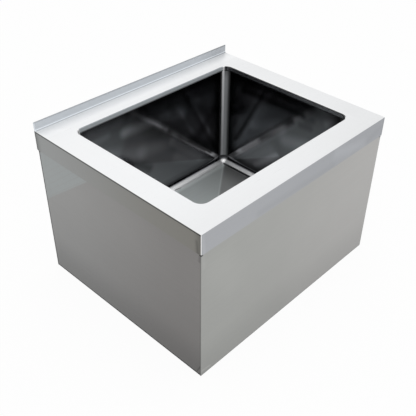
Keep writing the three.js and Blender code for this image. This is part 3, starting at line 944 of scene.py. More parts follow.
@dataclass(frozen=True)
class PanelSteel(Brushed):
    """A skirt panel: its tone drifts along it, with painted shade that darkens it towards the floor."""

    far: Colour = (0.33, 0.33, 0.33)
    ends: Point = (-317.5, 317.5)
    seam: Point = (315.1, 315.7)
    # Painted shade: how much darker the panel is low down, towards its foot and at its bottom edge.
    low: float = 0.0
    foot: float = 0.12
    edge: float = 0.12
    # A painted reflection on the panel: how strong, its colour, where it lies, and the fine lines across it.
    sheen: float = 0.0
    sheen_colour: Colour = (0.288, 0.312, 0.315)
    sheen_slope: float = 0.77
    sheen_start: Point = (259.0, 220.0)
    sheen_edge: Point = (-3.0, 2.0)
    line_pitch: float = 0.37
    line_shape: Point = (0.75, 1.0)
    line_end: Point = (70.0, 120.0)
    line_dark: float = 0.35
    drift: float = 0.25
    drift_cells: float = 0.004
    low_part: Point = (60.0, 330.0)
    foot_part: Point = (0.0, 130.0)
    edge_part: Point = (3.0, 7.0)
    # Painted shade where the panel's ends meet the next panel.
    seam_dark: float = 0.35
    # Painted shadow seen through the relief hole at each top corner: how dark, how high, and how far in from
    # the panel's end.
    relief_shadow_dark: float = 0.95
    relief_shadow: tuple[Step, ...] = (("z", 350.5, 351.7), ("z", 359.2, 358.0))
    relief_shadow_reach: Point = (8.0, 6.0)
    tone_strokes: tuple[ToneStroke, ...] = ()

    def reflection(self, coat: Coating, run: Signal) -> Signal:
        """A painted reflection: a faint cool patch at the far top corner, crossed by fine lines."""
        over = (run - self.sheen_start[0]) * self.sheen_slope + (coat.z - self.sheen_start[1])
        wave = over * self.line_pitch
        lines = wave.sum("SINE", wave).rising(*self.line_shape) * over.falling(*self.line_end)
        return over.rising(*self.sheen_edge) * (1.0 - lines * self.line_dark) * self.sheen

    def tone(self, coat: Coating) -> Signal:
        """Colour along the panel, from its left or front end, with painted shade low down and at its seams, a
        painted shadow behind the relief holes, and a painted reflection.
        """
        run = coat.x if self.grain is Grain.ALONG_X else coat.y
        drift = (coat.noise([self.drift_cells] * 3, 1.0) - 0.5) * self.drift
        tone = coat.blend(run.rising(*self.ends) + drift, self.colour, self.far)
        if self.sheen:
            tone = coat.blend(self.reflection(coat, run), tone, self.sheen_colour)
        # Painted shade low down, towards the foot and at the bottom edge, and the panel's streaks.
        shade = coat.z.falling(*self.low_part) * self.low + coat.z.falling(*self.foot_part) * self.foot
        shade = shade + coat.z.falling(*self.edge_part) * self.edge - coat.stroked_tone(run, coat.z, self.tone_strokes)
        # Painted shade at the seams.
        end = abs(run).rising(*self.seam) * self.seam_dark
        # Painted shadow behind the relief holes at the top corners.
        reach = [self.ends[1] - past for past in self.relief_shadow_reach]
        relief_shadow = coat.within(*self.relief_shadow) * abs(run).rising(*reach) * self.relief_shadow_dark
        return coat.shaded(tone, (1.0 - shade) * (1.0 - end) * (1.0 - relief_shadow))


@dataclass(frozen=True)
class BowlSteel(Brushed):
    """The bowl: polished walls in painted shade, coves with painted highlights, and a brushed floor with
    painted light and shade on its facets.
    """

    half: Point = (254.0, 203.2)
    cove: float = 21.0
    floor: float = 101.6
    top: float = 393.4
    # Painted highlights on the floor coves and along the upright coves, a duller band round the upright coves
    # with painted shadow beside it, and painted light and shade on the floor's facets.
    cove_highlight: Colour = (0.97, 0.98, 0.98)
    column_colour: Colour = (0.40, 0.41, 0.425)
    column_highlight: Colour = (0.98, 0.99, 1.0)
    shadow: Colour = (0.02, 0.02, 0.021)
    floor_colour: Colour = (0.66, 0.7095, 0.704)
    floor_end: Colour = (0.39, 0.4005, 0.4005)
    # A dark line on the floor, between these two points.
    dark_floor_line: tuple[Point, Point] = ((40.7, 187.4), (58.2, 183.7))
    # Painted reflections and painted shade on the back wall.
    long_wall_light_and_shade: tuple[ToneStroke, ...] = (
        ((-215.0, 390.0), (-125.0, 387.0), 28.0, 1.2),
        ((-210.0, 352.0), (-165.0, 356.0), 20.0, 0.4),
        ((-110.0, 343.0), (30.0, 336.0), 24.0, 1.4),
        ((10.0, 328.0), (84.0, 318.0), 28.0, 1.5),
        ((-165.0, 292.0), (-64.0, 264.0), 40.0, 0.75),
        ((-60.0, 262.0), (45.0, 257.0), 34.0, 0.55),
        ((-82.0, 238.0), (-38.0, 204.0), 24.0, -0.5),
        ((160.0, 236.0), (210.0, 288.0), 32.0, -0.55),
        ((66.0, 196.0), (165.0, 142.0), 30.0, 0.45),
        ((197.0, 150.0), (40.0, 287.0), 17.0, -0.9),
        ((155.0, 156.0), (48.0, 250.0), 20.0, 0.85),
        ((112.0, 250.0), (46.0, 308.0), 26.0, 0.9),
        ((203.0, 139.0), (178.0, 161.0), 4.0, 0.45),
        ((12.0, 308.0), (-16.0, 333.0), 4.0, 0.35),
        ((40.0, 360.0), (200.0, 354.0), 20.0, -0.5),
        ((104.0, 340.0), (175.0, 298.0), 26.0, -0.4),
        ((200.0, 240.0), (204.0, 204.0), 18.0, -0.5),
    )
    # Painted reflections and painted shade on the right wall.
    short_wall_light_and_shade: tuple[ToneStroke, ...] = (
        ((0.0, 300.0), (84.0, 258.0), 32.0, 0.75),
        ((-20.0, 262.0), (-90.0, 274.0), 32.0, 0.6),
        ((28.0, 204.0), (104.0, 146.0), 40.0, 0.5),
        ((86.0, 222.0), (148.0, 168.0), 28.0, 1.1),
        ((163.0, 135.0), (-36.0, 326.0), 18.0, -0.78),
        ((126.0, 170.0), (76.0, 220.0), 14.0, -0.3),
        ((154.0, 160.0), (24.0, 290.0), 10.0, 0.5),
        ((4.0, 202.0), (76.0, 138.0), 16.0, 1.0),
        ((-100.0, 354.0), (-82.0, 351.0), 20.0, -0.35),
        ((-95.0, 330.0), (-66.0, 328.0), 18.0, -0.3),
        ((-150.0, 362.0), (-166.0, 372.0), 22.0, 0.7),
        ((-66.0, 358.0), (130.0, 357.0), 20.0, -0.75),
    )
    far_walls: tuple[Step, Step] = (("y", 190.0, 200.0), ("x", 240.0, 250.0))
    # Painted shade under the lip, deeper from the middle of the back wall on, and taken off again at the front
    # of the short walls.
    top_tints: tuple[Tint, ...] = (
        (-0.6, ("z", 348.4, 388.4)),
        (-0.2, ("z", 348.4, 388.4), ("x", -100.0, -40.0)),
        (0.8, ("z", 348.4, 388.4), ("y", -90.0, -160.0), ("|x|", 251.0, 253.0)),
    )
    # Painted shade beside the upright coves, on the upper back wall, and just above the floor coves.
    wall_tints: tuple[Tint, ...] = (
        (-0.75, ("|y|", 143.2, 179.2), ("|x|", 251.0, 253.0)),
        (-0.6, ("x", 204.0, 230.0), ("|y|", 200.2, 202.2)),
        (-0.5, ("x", -100.0, 160.0), ("z", 220.0, 340.0), ("|y|", 200.2, 202.2)),
        (-0.5, ("z", 140.6, 122.6)),
    )
    cove_start: Point = (0.4, 2.2)
    floor_edge: Point = (0.1, 0.9)
    floor_rise: Point = (2.0, 4.0)
    bright_part: Point = (29.0, 47.0)
    short_side: Point = (30.0, 60.0)
    short_end: Point = (66.0, 76.0)
    near_side: Point = (-0.1, 0.1)
    near_dull: float = 0.86
    # Painted shade low in the floor coves where they meet the walls: where it starts and ends, in degrees down
    # the cove.
    under: Point = (14.0, 30.0)
    # Painted shadow beside the duller band round each upright cove, the band darker at its top, and the painted
    # highlight line in it.
    band_sides: tuple[Point, Point] = ((8.0, 40.0), (62.0, 77.0))
    band_top: float = 365.0
    band_dark: float = 0.5
    line_angle: float = 54.0
    line_lean: float = 0.02
    line_width: Point = (3.0, 14.0)
    line_foot: float = 80.0
    line_least: float = 0.2
    # Painted light and shade on the floor's facets, and a painted highlight along the creases.
    side_tints: tuple[Tint, ...] = ((0.5, ("|y|", 166.0, 182.0)), (-0.318, ("|x|", 40.0, 230.0)))
    end_tints: tuple[Tint, ...] = ((-0.533, ("|x|", 150.0, 233.0)),)
    facet: Point = (-0.02, 0.05)
    crease: Point = (0.0, 0.025)
    crease_light: float = 0.25
    dark_floor_line_width: float = 1.8
    dark_floor_line_top: Point = (110.0, 114.0)
    dark_floor_line_strength: float = 0.85
    cove_rough: float = 0.34
    upright_rough: float = 0.35
    floor_rough: float = 0.3
    floor_dull: float = 0.6
    upright_dull: float = 0.95
    press_cells: float = 0.0045
    press_grain: float = 0.004
    press_depth: float = 1.2

    @property
    def flat(self) -> Point:
        """Half the length and width of the floor between its coves."""
        return self.half[0] - self.cove, self.half[1] - self.cove

    def past(self, coat: Coating) -> tuple[Signal, Signal]:
        """How far into the coves a point is, towards the short wall and towards the long one."""
        return (abs(coat.x) - self.flat[0]).most(0.0), (abs(coat.y) - self.flat[1]).most(0.0)

    def around(self, coat: Coating) -> Signal:
        """Degrees round an upright cove, 0 at the short wall and 90 at the long one."""
        out_x, out_y = self.past(coat)
        return out_y.angle(out_x)

    def down(self, coat: Coating) -> Signal:
        """Degrees down a floor cove, 0 at the wall and 90 at the floor."""
        out_x, out_y = self.past(coat)
        return (self.floor + self.cove - coat.z).angle(out_x.length(out_y))

    def upright(self, coat: Coating) -> Signal:
        """Where the upright coves are."""
        out_x, out_y = self.past(coat)
        return out_x.rising(*self.cove_start) * out_y.rising(*self.cove_start)

    def level(self, coat: Coating) -> Signal:
        """Where the floor is."""
        out_x, out_y = self.past(coat)
        rise = [self.floor + height for height in self.floor_rise]
        return (out_x + out_y).falling(*self.floor_edge) * coat.z.falling(*rise)

    def cove_light(self, coat: Coating) -> Signal:
        """Where the floor coves carry a painted highlight and are rougher, a narrower band along the short
        walls.
        """
        down = self.down(coat)
        narrow = self.around(coat).falling(*self.short_side) * down.rising(*self.short_end)
        return down.rising(*self.bright_part) * (1.0 - narrow)

    def near(self, coat: Coating) -> Signal:
        """The two coves that face away from the light, where the painted highlight is weaker."""
        return (coat.x / self.half[0] + coat.y / self.half[1]).falling(*self.near_side)

    def walls(self, coat: Coating) -> Signal:
        """Colour of the walls, with painted shade under the lip and beside the upright coves, and strokes of
        painted reflection and painted shade.
        """
        shade = coat.tinted(self.top_tints) * coat.layered(self.wall_tints)
        for along, tone_strokes, wall in zip((coat.x, coat.y), (self.long_wall_light_and_shade, self.short_wall_light_and_shade), self.far_walls):
            shade = shade * (coat.stroked_tone(along, coat.z, tone_strokes) * coat.within(wall) + 1.0)
        return coat.shaded(self.colour, shade)

    def column(self, coat: Coating) -> Signal:
        """Colour round an upright cove: a painted highlight line that fades towards the floor, in a duller band
        darker at its top, with painted shadow on both sides.
        """
        around = self.around(coat)
        short, long = self.band_sides
        top = coat.z.rising(self.band_top, self.top) * self.band_dark
        wide = around.rising(*short) * around.falling(*long) * (1.0 - top)
        line = abs(around - coat.z * self.line_lean - self.line_angle).falling(*self.line_width)
        fading = coat.z.rising(self.line_foot, self.top) * (1.0 - self.line_least) + self.line_least
        return coat.blend(line * fading, coat.blend(wide, self.shadow, self.column_colour), self.column_highlight)

    def bottom(self, coat: Coating) -> Signal:
        """Colour of the floor, whose four facets are painted lighter and darker, and meet in creases with a
        painted highlight.
        """
        across = abs(coat.x) / self.flat[0] - abs(coat.y) / self.flat[1]
        side = coat.shaded(self.floor_colour, coat.layered(self.side_tints))
        end = coat.shaded(self.floor_end, coat.layered(self.end_tints))
        crease = abs(across).falling(*self.crease) * self.crease_light + 1.0
        return coat.shaded(coat.blend(across.rising(*self.facet), side, end), crease)

    def low_coves(self, coat: Coating) -> Signal:
        """Colour of the coves along the floor: painted shade where they meet the walls, and a painted highlight
        band.
        """
        dark = coat.shaded(self.colour, self.down(coat).rising(*self.under) * 0.5 + 0.5)
        light = self.cove_light(coat) * (1.0 - self.near(coat) * self.near_dull)
        return coat.blend(light, dark, self.cove_highlight)

    def tone(self, coat: Coating) -> Signal:
        """Colour by region: walls, upright coves, floor coves and floor, each with its painted light and shade,
        and a dark line on the floor.
        """
        cove_top = self.floor + self.cove
        tone = coat.blend(self.upright(coat), self.walls(coat), self.column(coat))
        tone = coat.blend(coat.z.falling(cove_top - 1.0, cove_top), tone, self.low_coves(coat))
        tone = coat.blend(self.level(coat), tone, self.bottom(coat))
        dark_floor_line = coat.stroke(coat.x, coat.y, *self.dark_floor_line, self.dark_floor_line_width)
        dark_floor_line = dark_floor_line * coat.z.falling(*self.dark_floor_line_top) * self.dark_floor_line_strength
        return coat.shaded(tone, 1.0 - dark_floor_line)

    def gloss(self, coat: Coating) -> Signal:
        """Polished walls, and rougher coves and floor."""
        rough = (self.cove_light(coat) * self.cove_rough).most(self.upright(coat) * self.upright_rough)
        return rough.most(self.level(coat) * self.floor_rough) + self.roughness

    def metal(self, coat: Coating) -> Signal:
        """The floor and the upright coves scatter more than the walls."""
        cove_top = self.floor + self.cove
        above = coat.z.rising(cove_top - 2.0, cove_top + 2.0)
        upright = self.upright(coat) * above * self.upright_dull
        return 1.0 - (self.level(coat) * self.floor_dull).most(upright)

    def wave(self, coat: Coating, streak: Signal) -> None:
        """Grain, and the slow waves of a wall that was pressed and polished."""
        slow = coat.noise([self.press_cells] * 3, 1.0)
        coat.bump(slow + streak * self.press_grain, self.press_depth, 1.0)


@dataclass(frozen=True)
class Lathed:
    """A turned or pressed metal, with fine rings round the upright axis."""

    colour: Colour
    roughness: float = 0.2
    contrast: float = 0.08
    dull: float = 0.0
    ring_cells: tuple[float, float, float] = (2.2, 2.2, 0.0)
    stain_cells: float = 0.22
    stain_least: float = 0.06
    ring_depth: float = 0.03

    def material(self, name: str) -> bpy.types.Material:
        """The finish as a material."""
        coat = Coating(name)
        radius = coat.x.length(coat.y)
        place = Signal(coat, coat.node("ShaderNodeCombineXYZ", None, {0: radius, 1: coat.z}).outputs[0])
        rings = coat.noise(self.ring_cells, 2.0, 0.6, at=place)
        stain = coat.noise([self.stain_cells] * 3, 4.0, 0.6)
        light = 1.0 + (rings - 0.5) * self.contrast + (stain - 0.5) * (self.stain_least + self.dull)
        coat.set(Base_Color=coat.shaded(self.colour, light), Metallic=1.0)
        coat.set(Roughness=(rings - 0.5) * 0.1 + (stain - 0.5) * self.dull + self.roughness)
        coat.bump(rings, self.ring_depth, 0.4)
        return coat.material


@dataclass(frozen=True)
class Moulded:
    """Rubber, nylon or fibre: a moulded or pressed skin with fine specks."""

    colour: Colour
    roughness: float
    speck: float = 0.1
    cells: float = 1.8
    worn_cells: float = 0.08
    worn: float = 0.15
    speck_depth: float = 0.06

    def material(self, name: str) -> bpy.types.Material:
        """The finish as a material."""
        coat = Coating(name)
        specks = coat.noise([self.cells] * 3, 4.0, 0.7)
        worn = coat.noise([self.worn_cells] * 3, 2.0)
        light = 1.0 + (specks - 0.5) * self.speck * 2.0 + (worn - 0.5) * self.speck
        coat.set(Base_Color=coat.shaded(self.colour, light))
        coat.set(Roughness=(worn - 0.5) * self.worn + self.roughness)
        coat.bump(specks, self.speck_depth, 0.4)
        return coat.material


# ---------------------------------------------------------------- sheet metal


@dataclass(frozen=True)
class Sink:
    """Sizes that the sub-assemblies share."""

    width: float = 635.0
    depth: float = 533.4
    deck: float = 406.4
    sheet: float = 1.5
    gap: float = 0.3
    rim: float = 63.5
    apron: float = 50.8
    lip: float = 12.7
    upturn: float = 22.0
    hem: float = 10.0
    cove: float = 21.0
    bowl: float = 304.8
    fall: float = 4.0
    recess: float = 4.0

    @property
    def opening(self) -> Point:
        """Half the length and width of the bowl opening."""
        return self.width / 2 - self.rim, self.depth / 2 - self.rim

    @property
    def apron_foot(self) -> float:
        """Bottom of the aprons."""
        return self.deck - self.apron

    @property
    def lip_foot(self) -> float:
        """Bottom of the lip."""
        return self.deck - self.lip

    @property
    def upturn_back(self) -> float:
        """Back of the upturn's single sheet."""
        return self.depth / 2 - self.sheet

    @property
    def floor(self) -> float:
        """Edge of the bowl's floor."""
        return self.deck - self.bowl

    @property
    def seat(self) -> float:
        """Bottom of the drain recess."""
        return self.floor - self.fall - self.recess

    @property
    def inset(self) -> float:
        """How far the skirts stand inside the aprons."""
        return self.sheet + self.gap


@dataclass
class Rim:
    """Deck, lip, aprons and hemmed upturn folded from one sheet, with a strip that closes the back."""

    sink: Sink
    folded: FoldedSheet
    edge_bend: float = 2.0
    corner: float = 1.5
    relief: float = 1.6
    relief_length: float = 10.0
    upturn_bend: float = 3.0
    bend_steps: int = 8
    corner_steps: int = 14
    past: float = 1.0

    def outline(self, inset: float, height: float) -> Ring:
        """A ring inside the outside of the aprons."""
        half_x, half_y = self.sink.width / 2 - inset, self.sink.depth / 2 - inset
        return rounded_rectangle(half_x, half_y, max(self.corner - inset, 0.02), height, self.corner_steps)

    def opening(self, grow: float, height: float) -> Ring:
        """A ring outside the bowl opening."""
        half_x, half_y = self.sink.opening
        return rounded_rectangle(half_x + grow, half_y + grow, self.sink.cove + grow, height, self.corner_steps)

    def deck(self) -> Solid:
        """Deck, lip and four aprons as one folded skin."""
        sheet, bend = self.sink.sheet, self.edge_bend
        centre = (bend, self.sink.deck - bend)
        outside = arc(centre, bend, 180, 90, self.bend_steps)
        inside = arc(centre, bend - sheet, 180, 90, self.bend_steps)
        return Solid.lofted(
            [self.outline(0, self.sink.apron_foot)]
            + [self.outline(*point) for point in outside]
            + [self.opening(*point) for point in outside[::-1]]
            + [self.opening(0, self.sink.lip_foot), self.opening(sheet, self.sink.lip_foot)]
            + [self.opening(*point) for point in inside]
            + [self.outline(*point) for point in inside[::-1]]
            + [self.outline(sheet, self.sink.apron_foot)],
            True,
        )

    def upturn_section(self) -> list[Point]:
        """The upturn's section: a bend out of the deck, one thickness of sheet, and a hem folded back."""
        sink, bend = self.sink, self.upturn_bend
        back, sheet, top = sink.upturn_back, sink.sheet, sink.deck + sink.upturn
        bend_at = back - sheet - bend
        return [
            (bend_at - self.past, sink.deck - sheet),
            *arc((bend_at, sink.deck + bend), bend + sheet, -90, 0, self.bend_steps),
            (back, top - sink.hem),
            (back + sheet, top - sink.hem),
            *arc((back, top - sheet), sheet, 0, 180, 2 * self.bend_steps),
            *arc((bend_at, sink.deck + bend), bend, 0, -90, self.bend_steps),
            (bend_at - self.past, sink.deck),
        ]

    def relief_holes(self) -> Iterable[Solid]:
        """The holes that let the corners of the aprons fold, square to each corner."""
        reach = self.relief_length / 2
        level = Matrix.Rotation(math.pi / 2, 4, "X")
        for sign_x, sign_y in ((1, 1), (-1, 1), (-1, -1), (1, -1)):
            turn = Matrix.Rotation(math.radians(45 * -sign_x * sign_y), 4, "Z")
            place = Vector((sign_x * self.sink.width / 2, sign_y * self.sink.depth / 2, self.sink.apron_foot))
            hole = Solid.turned(band(0, self.relief, -reach, reach), 24)
            yield hole.moved(Matrix.Translation(place) @ turn @ level)

    def build(self) -> None:
        """Makes and installs the rim and its rear strip."""
        sink, past = self.sink, self.past
        # Painted light: the deck's near-white is a lit copy of the same steel as the aprons and skirts.
        finish = RimSteel((0.92, 0.93, 0.94), Grain.ALONG_X, roughness=0.3, contrast=0.03, cloud=0.03)
        steel = finish.material("deck_sheet")
        half, side = sink.width / 2, sink.width / 2 - sink.sheet
        bend_at = sink.upturn_back - sink.sheet - self.upturn_bend
        shell = self.deck()
        foot, back = sink.apron_foot - past, (sink.depth / 2 + past, sink.deck + past)
        shell.cut(Solid.block((-half - past, sink.upturn_back, foot), (half + past, *back)))
        shell.cut(Solid.block((-side, bend_at, foot), (side, *back)))
        shell.join(self.folded.fold(self.upturn_section(), sink.width, steel))
        for hole in self.relief_holes():
            shell.cut(hole)
        shell.piece("rim_sheet", Body.SINK, Slot.DECK, steel, "rim_top")
        top = sink.deck + sink.upturn - sink.hem - sink.gap
        section = eased(band(sink.upturn_back + sink.gap, sink.depth / 2, sink.apron_foot, top), 0.25)
        strip = self.folded.fold(section, sink.width, steel)
        for hole in self.relief_holes():
            strip.cut(hole)
        strip.piece("rear_strip", Body.SINK, Slot.DECK, steel, "rear_apron")


@dataclass
class Bowl:
    """Coved bowl with a creased floor and a pressed recess for the drain."""

    sink: Sink
    recess_radius: float = 58.5
    recess_flare: float = 2.0
    hole_radius: float = 43.0
    crease: float = 3.0
    cove_steps: int = 16
    corner_steps: int = 16
    side_steps: int = 14
    slope_shares: tuple[float, ...] = (0.4, 0.7, 0.93, 0.97)
    foot_bend: tuple[Point, ...] = ((-0.9, 0.0), (-0.2, 0.25), (0.25, 0.9))
    mouth_bend: tuple[Point, ...] = ((-0.35, 0.9), (0.15, 0.25), (0.9, 0.0))

    @property
    def flat(self) -> Point:
        """Half the length and width of the creased floor."""
        return self.sink.opening[0] - self.sink.cove, self.sink.opening[1] - self.sink.cove

    def wall(self, grow: float, height: float) -> Ring:
        """A ring of the wall, grown outwards."""
        half_x, half_y = self.sink.opening
        radius = max(self.sink.cove + grow, 0.02)
        steps = (self.corner_steps, self.side_steps)
        return rounded_rectangle(half_x + grow, half_y + grow, radius, height, *steps)

    def slope(self, share: float, drop: float) -> Ring:
        """A ring of the creased floor, with its corners rounded across the creases.

        Args:
            share: how far out it is, from 0 in the middle to 1 at the edge.
            drop: how far below the inside of the bowl.

        Returns:
            The ring.
        """
        height = self.sink.floor - drop - self.sink.fall * (1 - share)
        half_x, half_y = self.flat
        radius = 0.02 + self.crease * min(1.0, (1 - share) * 12)
        steps = (self.corner_steps, self.side_steps)
        return rounded_rectangle(half_x * share, half_y * share, radius, height, *steps)

    def circle(self, radius: float, height: float | None, drop: float = 0.0) -> Ring:
        """A ring round the drain, whose points lie on the creases where the floor's do.

        Args:
            radius: its radius.
            height: its height, or None to lie on the creased floor.
            drop: how far below the floor, where it lies on that.

        Returns:
            The ring.
        """
        half_x, half_y = self.flat
        lean = math.degrees(math.atan2(half_y, half_x))
        spread = math.degrees(self.crease / radius)
        centres = [lean, 180 - lean, 180 + lean, 360 - lean]
        angles: list[float] = []
        for index, centre in enumerate(centres):
            onward = centres[(index + 1) % 4] + (360 if index == 3 else 0)
            shares = [2 * step / self.corner_steps - 1 for step in range(self.corner_steps + 1)]
            angles += [centre + spread * share for share in shares]
            low, high = centre + spread, onward - spread
            angles += [low + (high - low) * run / self.side_steps for run in range(1, self.side_steps)]
        ring: Ring = []
        for angle in map(math.radians, angles):
            x, y = radius * math.cos(angle), radius * math.sin(angle)
            out = max(abs(x) / half_x, abs(y) / half_y)
            creased = self.sink.floor - drop - self.sink.fall * (1 - out)
            ring.append((x, y, creased if height is None else height))
        return ring

    def skin(self, grow: float) -> list[Ring]:
        """The rings of one side of the sheet, from the drain hole up to the rim.

        Args:
            grow: 0 for the inside of the bowl, the sheet's thickness for the outside.

        Returns:
            The rings in order.
        """
        sink, seat = self.sink, self.sink.seat
        cove = arc((sink.cove, sink.floor + sink.cove), sink.cove + grow, 270, 180, self.cove_steps)
        inner, outer = self.recess_radius + grow, self.recess_radius + self.recess_flare + grow
        return [
            self.circle(self.hole_radius, seat - grow),
            *[self.circle(inner + out, seat - grow + up) for out, up in self.foot_bend],
            *[self.circle(outer + out, None, grow + down) for out, down in self.mouth_bend],
            *[self.slope(share, grow) for share in self.slope_shares],
            *[self.wall(-x, z) for x, z in cove],
            self.wall(grow, sink.lip_foot - sink.gap),
        ]

    def build(self) -> None:
        """Makes and installs the bowl."""
        # Painted shade: the walls' dark tone is a shaded copy of the rim's steel.
        finish = BowlSteel((0.235, 0.237, 0.25), Grain.ALONG_X, roughness=0.11, contrast=0.05, cloud=0.1)
        shell = Solid.lofted(self.skin(0.0) + self.skin(self.sink.sheet)[::-1], True)
        shell.piece("bowl_shell", Body.SINK, Slot.BOWL, finish.material("bowl_sheet"), "bowl")


@dataclass
class Skirts:
    """Four panels down to the floor, each with a mitred return; the side ones have upright end flanges."""

    sink: Sink
    folded: FoldedSheet
    returned: float = 25.4
    flange: float = 20.0
    bend: float = 2.0
    bend_steps: int = 6
    low_strip: float = 5.0
    spare: float = 5.0
    # Painted light and shade: the panels are lit and shaded copies of one steel, the front lighter towards its
    # right end, the left darker and darkest near its front end, the right and rear plain.
    front: Colour = (0.365, 0.37, 0.355)
    front_far: Colour = (0.41, 0.405, 0.395)
    # Lighter streaks on the front panel.
    front_strokes: tuple[ToneStroke, ...] = (
        ((-311.0, 352.0), (-308.0, 320.0), 10.0, 0.06),
        ((-313.0, 16.0), (-288.0, 13.0), 5.0, 0.15),
        ((-260.0, 300.0), (-230.0, 230.0), 70.0, 0.05),
    )
    left: Colour = (0.202, 0.195, 0.190)
    left_far: Colour = (0.271, 0.271, 0.267)
    # Darker streaks on the left panel near its front end, at the bottom and at the top.
    left_strokes: tuple[ToneStroke, ...] = (
        ((-252.7, 8.0), (-262.0, 29.6), 2.6, -0.3),
        ((-262.0, 352.0), (-260.0, 336.0), 6.0, -0.25),
    )
    hidden: Colour = (0.33, 0.33, 0.325)

    @property
    def top(self) -> float:
        """Top edge of the panels, under the deck."""
        return self.sink.deck - self.sink.sheet - self.sink.gap

    def section(self, top: float) -> list[Point]:
        """An upright sheet with its foot turned in, outer face at Y = 0."""
        sheet, bend = self.sink.sheet, self.bend
        return [
            (0.0, top),
            *arc((bend, bend), bend, 180, 270, self.bend_steps),
            (self.returned, 0.0),
            (self.returned, sheet),
            *arc((bend, bend), bend - sheet, 270, 180, self.bend_steps),
            (sheet, top),
        ]

    def mitred(self, panel: Solid, corner: float) -> Solid:
        """Cuts the return's ends so that it meets the next panel's at 45 degrees."""
        sheet, gap = self.sink.sheet, self.sink.gap
        far, past = self.returned + self.spare, corner + self.spare
        for side in (-1, 1):
            wedge = [
                (side * (corner - sheet - gap), sheet), (side * past, sheet),
                (side * past, far), (side * (corner - far - gap), far),
            ]
            panel.cut(Solid.prism(wedge[::side], -1.0, sheet + 0.1))
        return panel

    def end_panel(self, finish: bpy.types.Material) -> Solid:
        """The front or rear panel, the full width of the sink."""
        half = self.sink.width / 2 - self.sink.inset
        return self.mitred(self.folded.fold(self.section(self.top), 2 * half, finish), half)

    def side_panel(self, finish: bpy.types.Material) -> Solid:
        """The left or right panel, between the other two, with an upright flange at each end."""
        sheet, bend = self.sink.sheet, self.bend
        corner = self.sink.depth / 2 - self.sink.inset
        half = corner - sheet - self.sink.gap
        reach = sheet + self.flange
        foot = sheet + self.sink.gap
        plan = [
            (half, reach), (half - sheet, reach),
            *arc((half - bend, bend), bend - sheet, 0, -90, self.bend_steps),
            *arc((bend - half, bend), bend - sheet, -90, -180, self.bend_steps),
            (sheet - half, reach), (-half, reach),
            *arc((bend - half, bend), bend, 180, 270, self.bend_steps),
            *arc((half - bend, bend), bend, -90, 0, self.bend_steps),
        ]
        panel = Solid.prism(plan, foot, self.top)
        low = self.folded.fold(self.section(self.low_strip), 2 * half, finish)
        return panel.join(self.mitred(low, corner))

    def build(self) -> None:
        """Makes, places and installs the four panels."""
        half_x, half_y = self.sink.width / 2 - self.sink.inset, self.sink.depth / 2 - self.sink.inset
        ends, seam = (-266.7, 266.7), (261.6, 262.9)
        right = PanelSteel(self.hidden, Grain.ALONG_Y, roughness=0.34, ends=ends, seam=seam)
        rear = PanelSteel(self.hidden, Grain.ALONG_X, roughness=0.34)
        front = replace(
            rear, colour=self.front, far=self.front_far, low=0.09, foot=0.14, tone_strokes=self.front_strokes,
        )
        # The left panel carries deeper painted shade low down and at its foot, and a painted reflection.
        left = replace(
            right, colour=self.left, far=self.left_far, roughness=0.3,
            low=0.22, foot=0.26, edge=0.6, sheen=0.75, tone_strokes=self.left_strokes,
        )
        panels = {
            "front": (self.end_panel, front, Vector((0, -half_y, 0)), 0),
            "right": (self.side_panel, right, Vector((half_x, 0, 0)), 90),
            "rear": (self.end_panel, rear, Vector((0, half_y, 0)), 180),
            "left": (self.side_panel, left, Vector((-half_x, 0, 0)), -90),
        }
        for side, (make, finish, place, turn) in panels.items():
            steel = finish.material(f"{side}_panel_sheet")
            panel = make(steel).moved(Matrix.Translation(place) @ Matrix.Rotation(math.radians(turn), 4, "Z"))
            panel.piece(f"{side}_panel", Body.SINK, Slot.SKIRT, steel, f"{side}_skirt")


# ---------------------------------------------------------------- drain


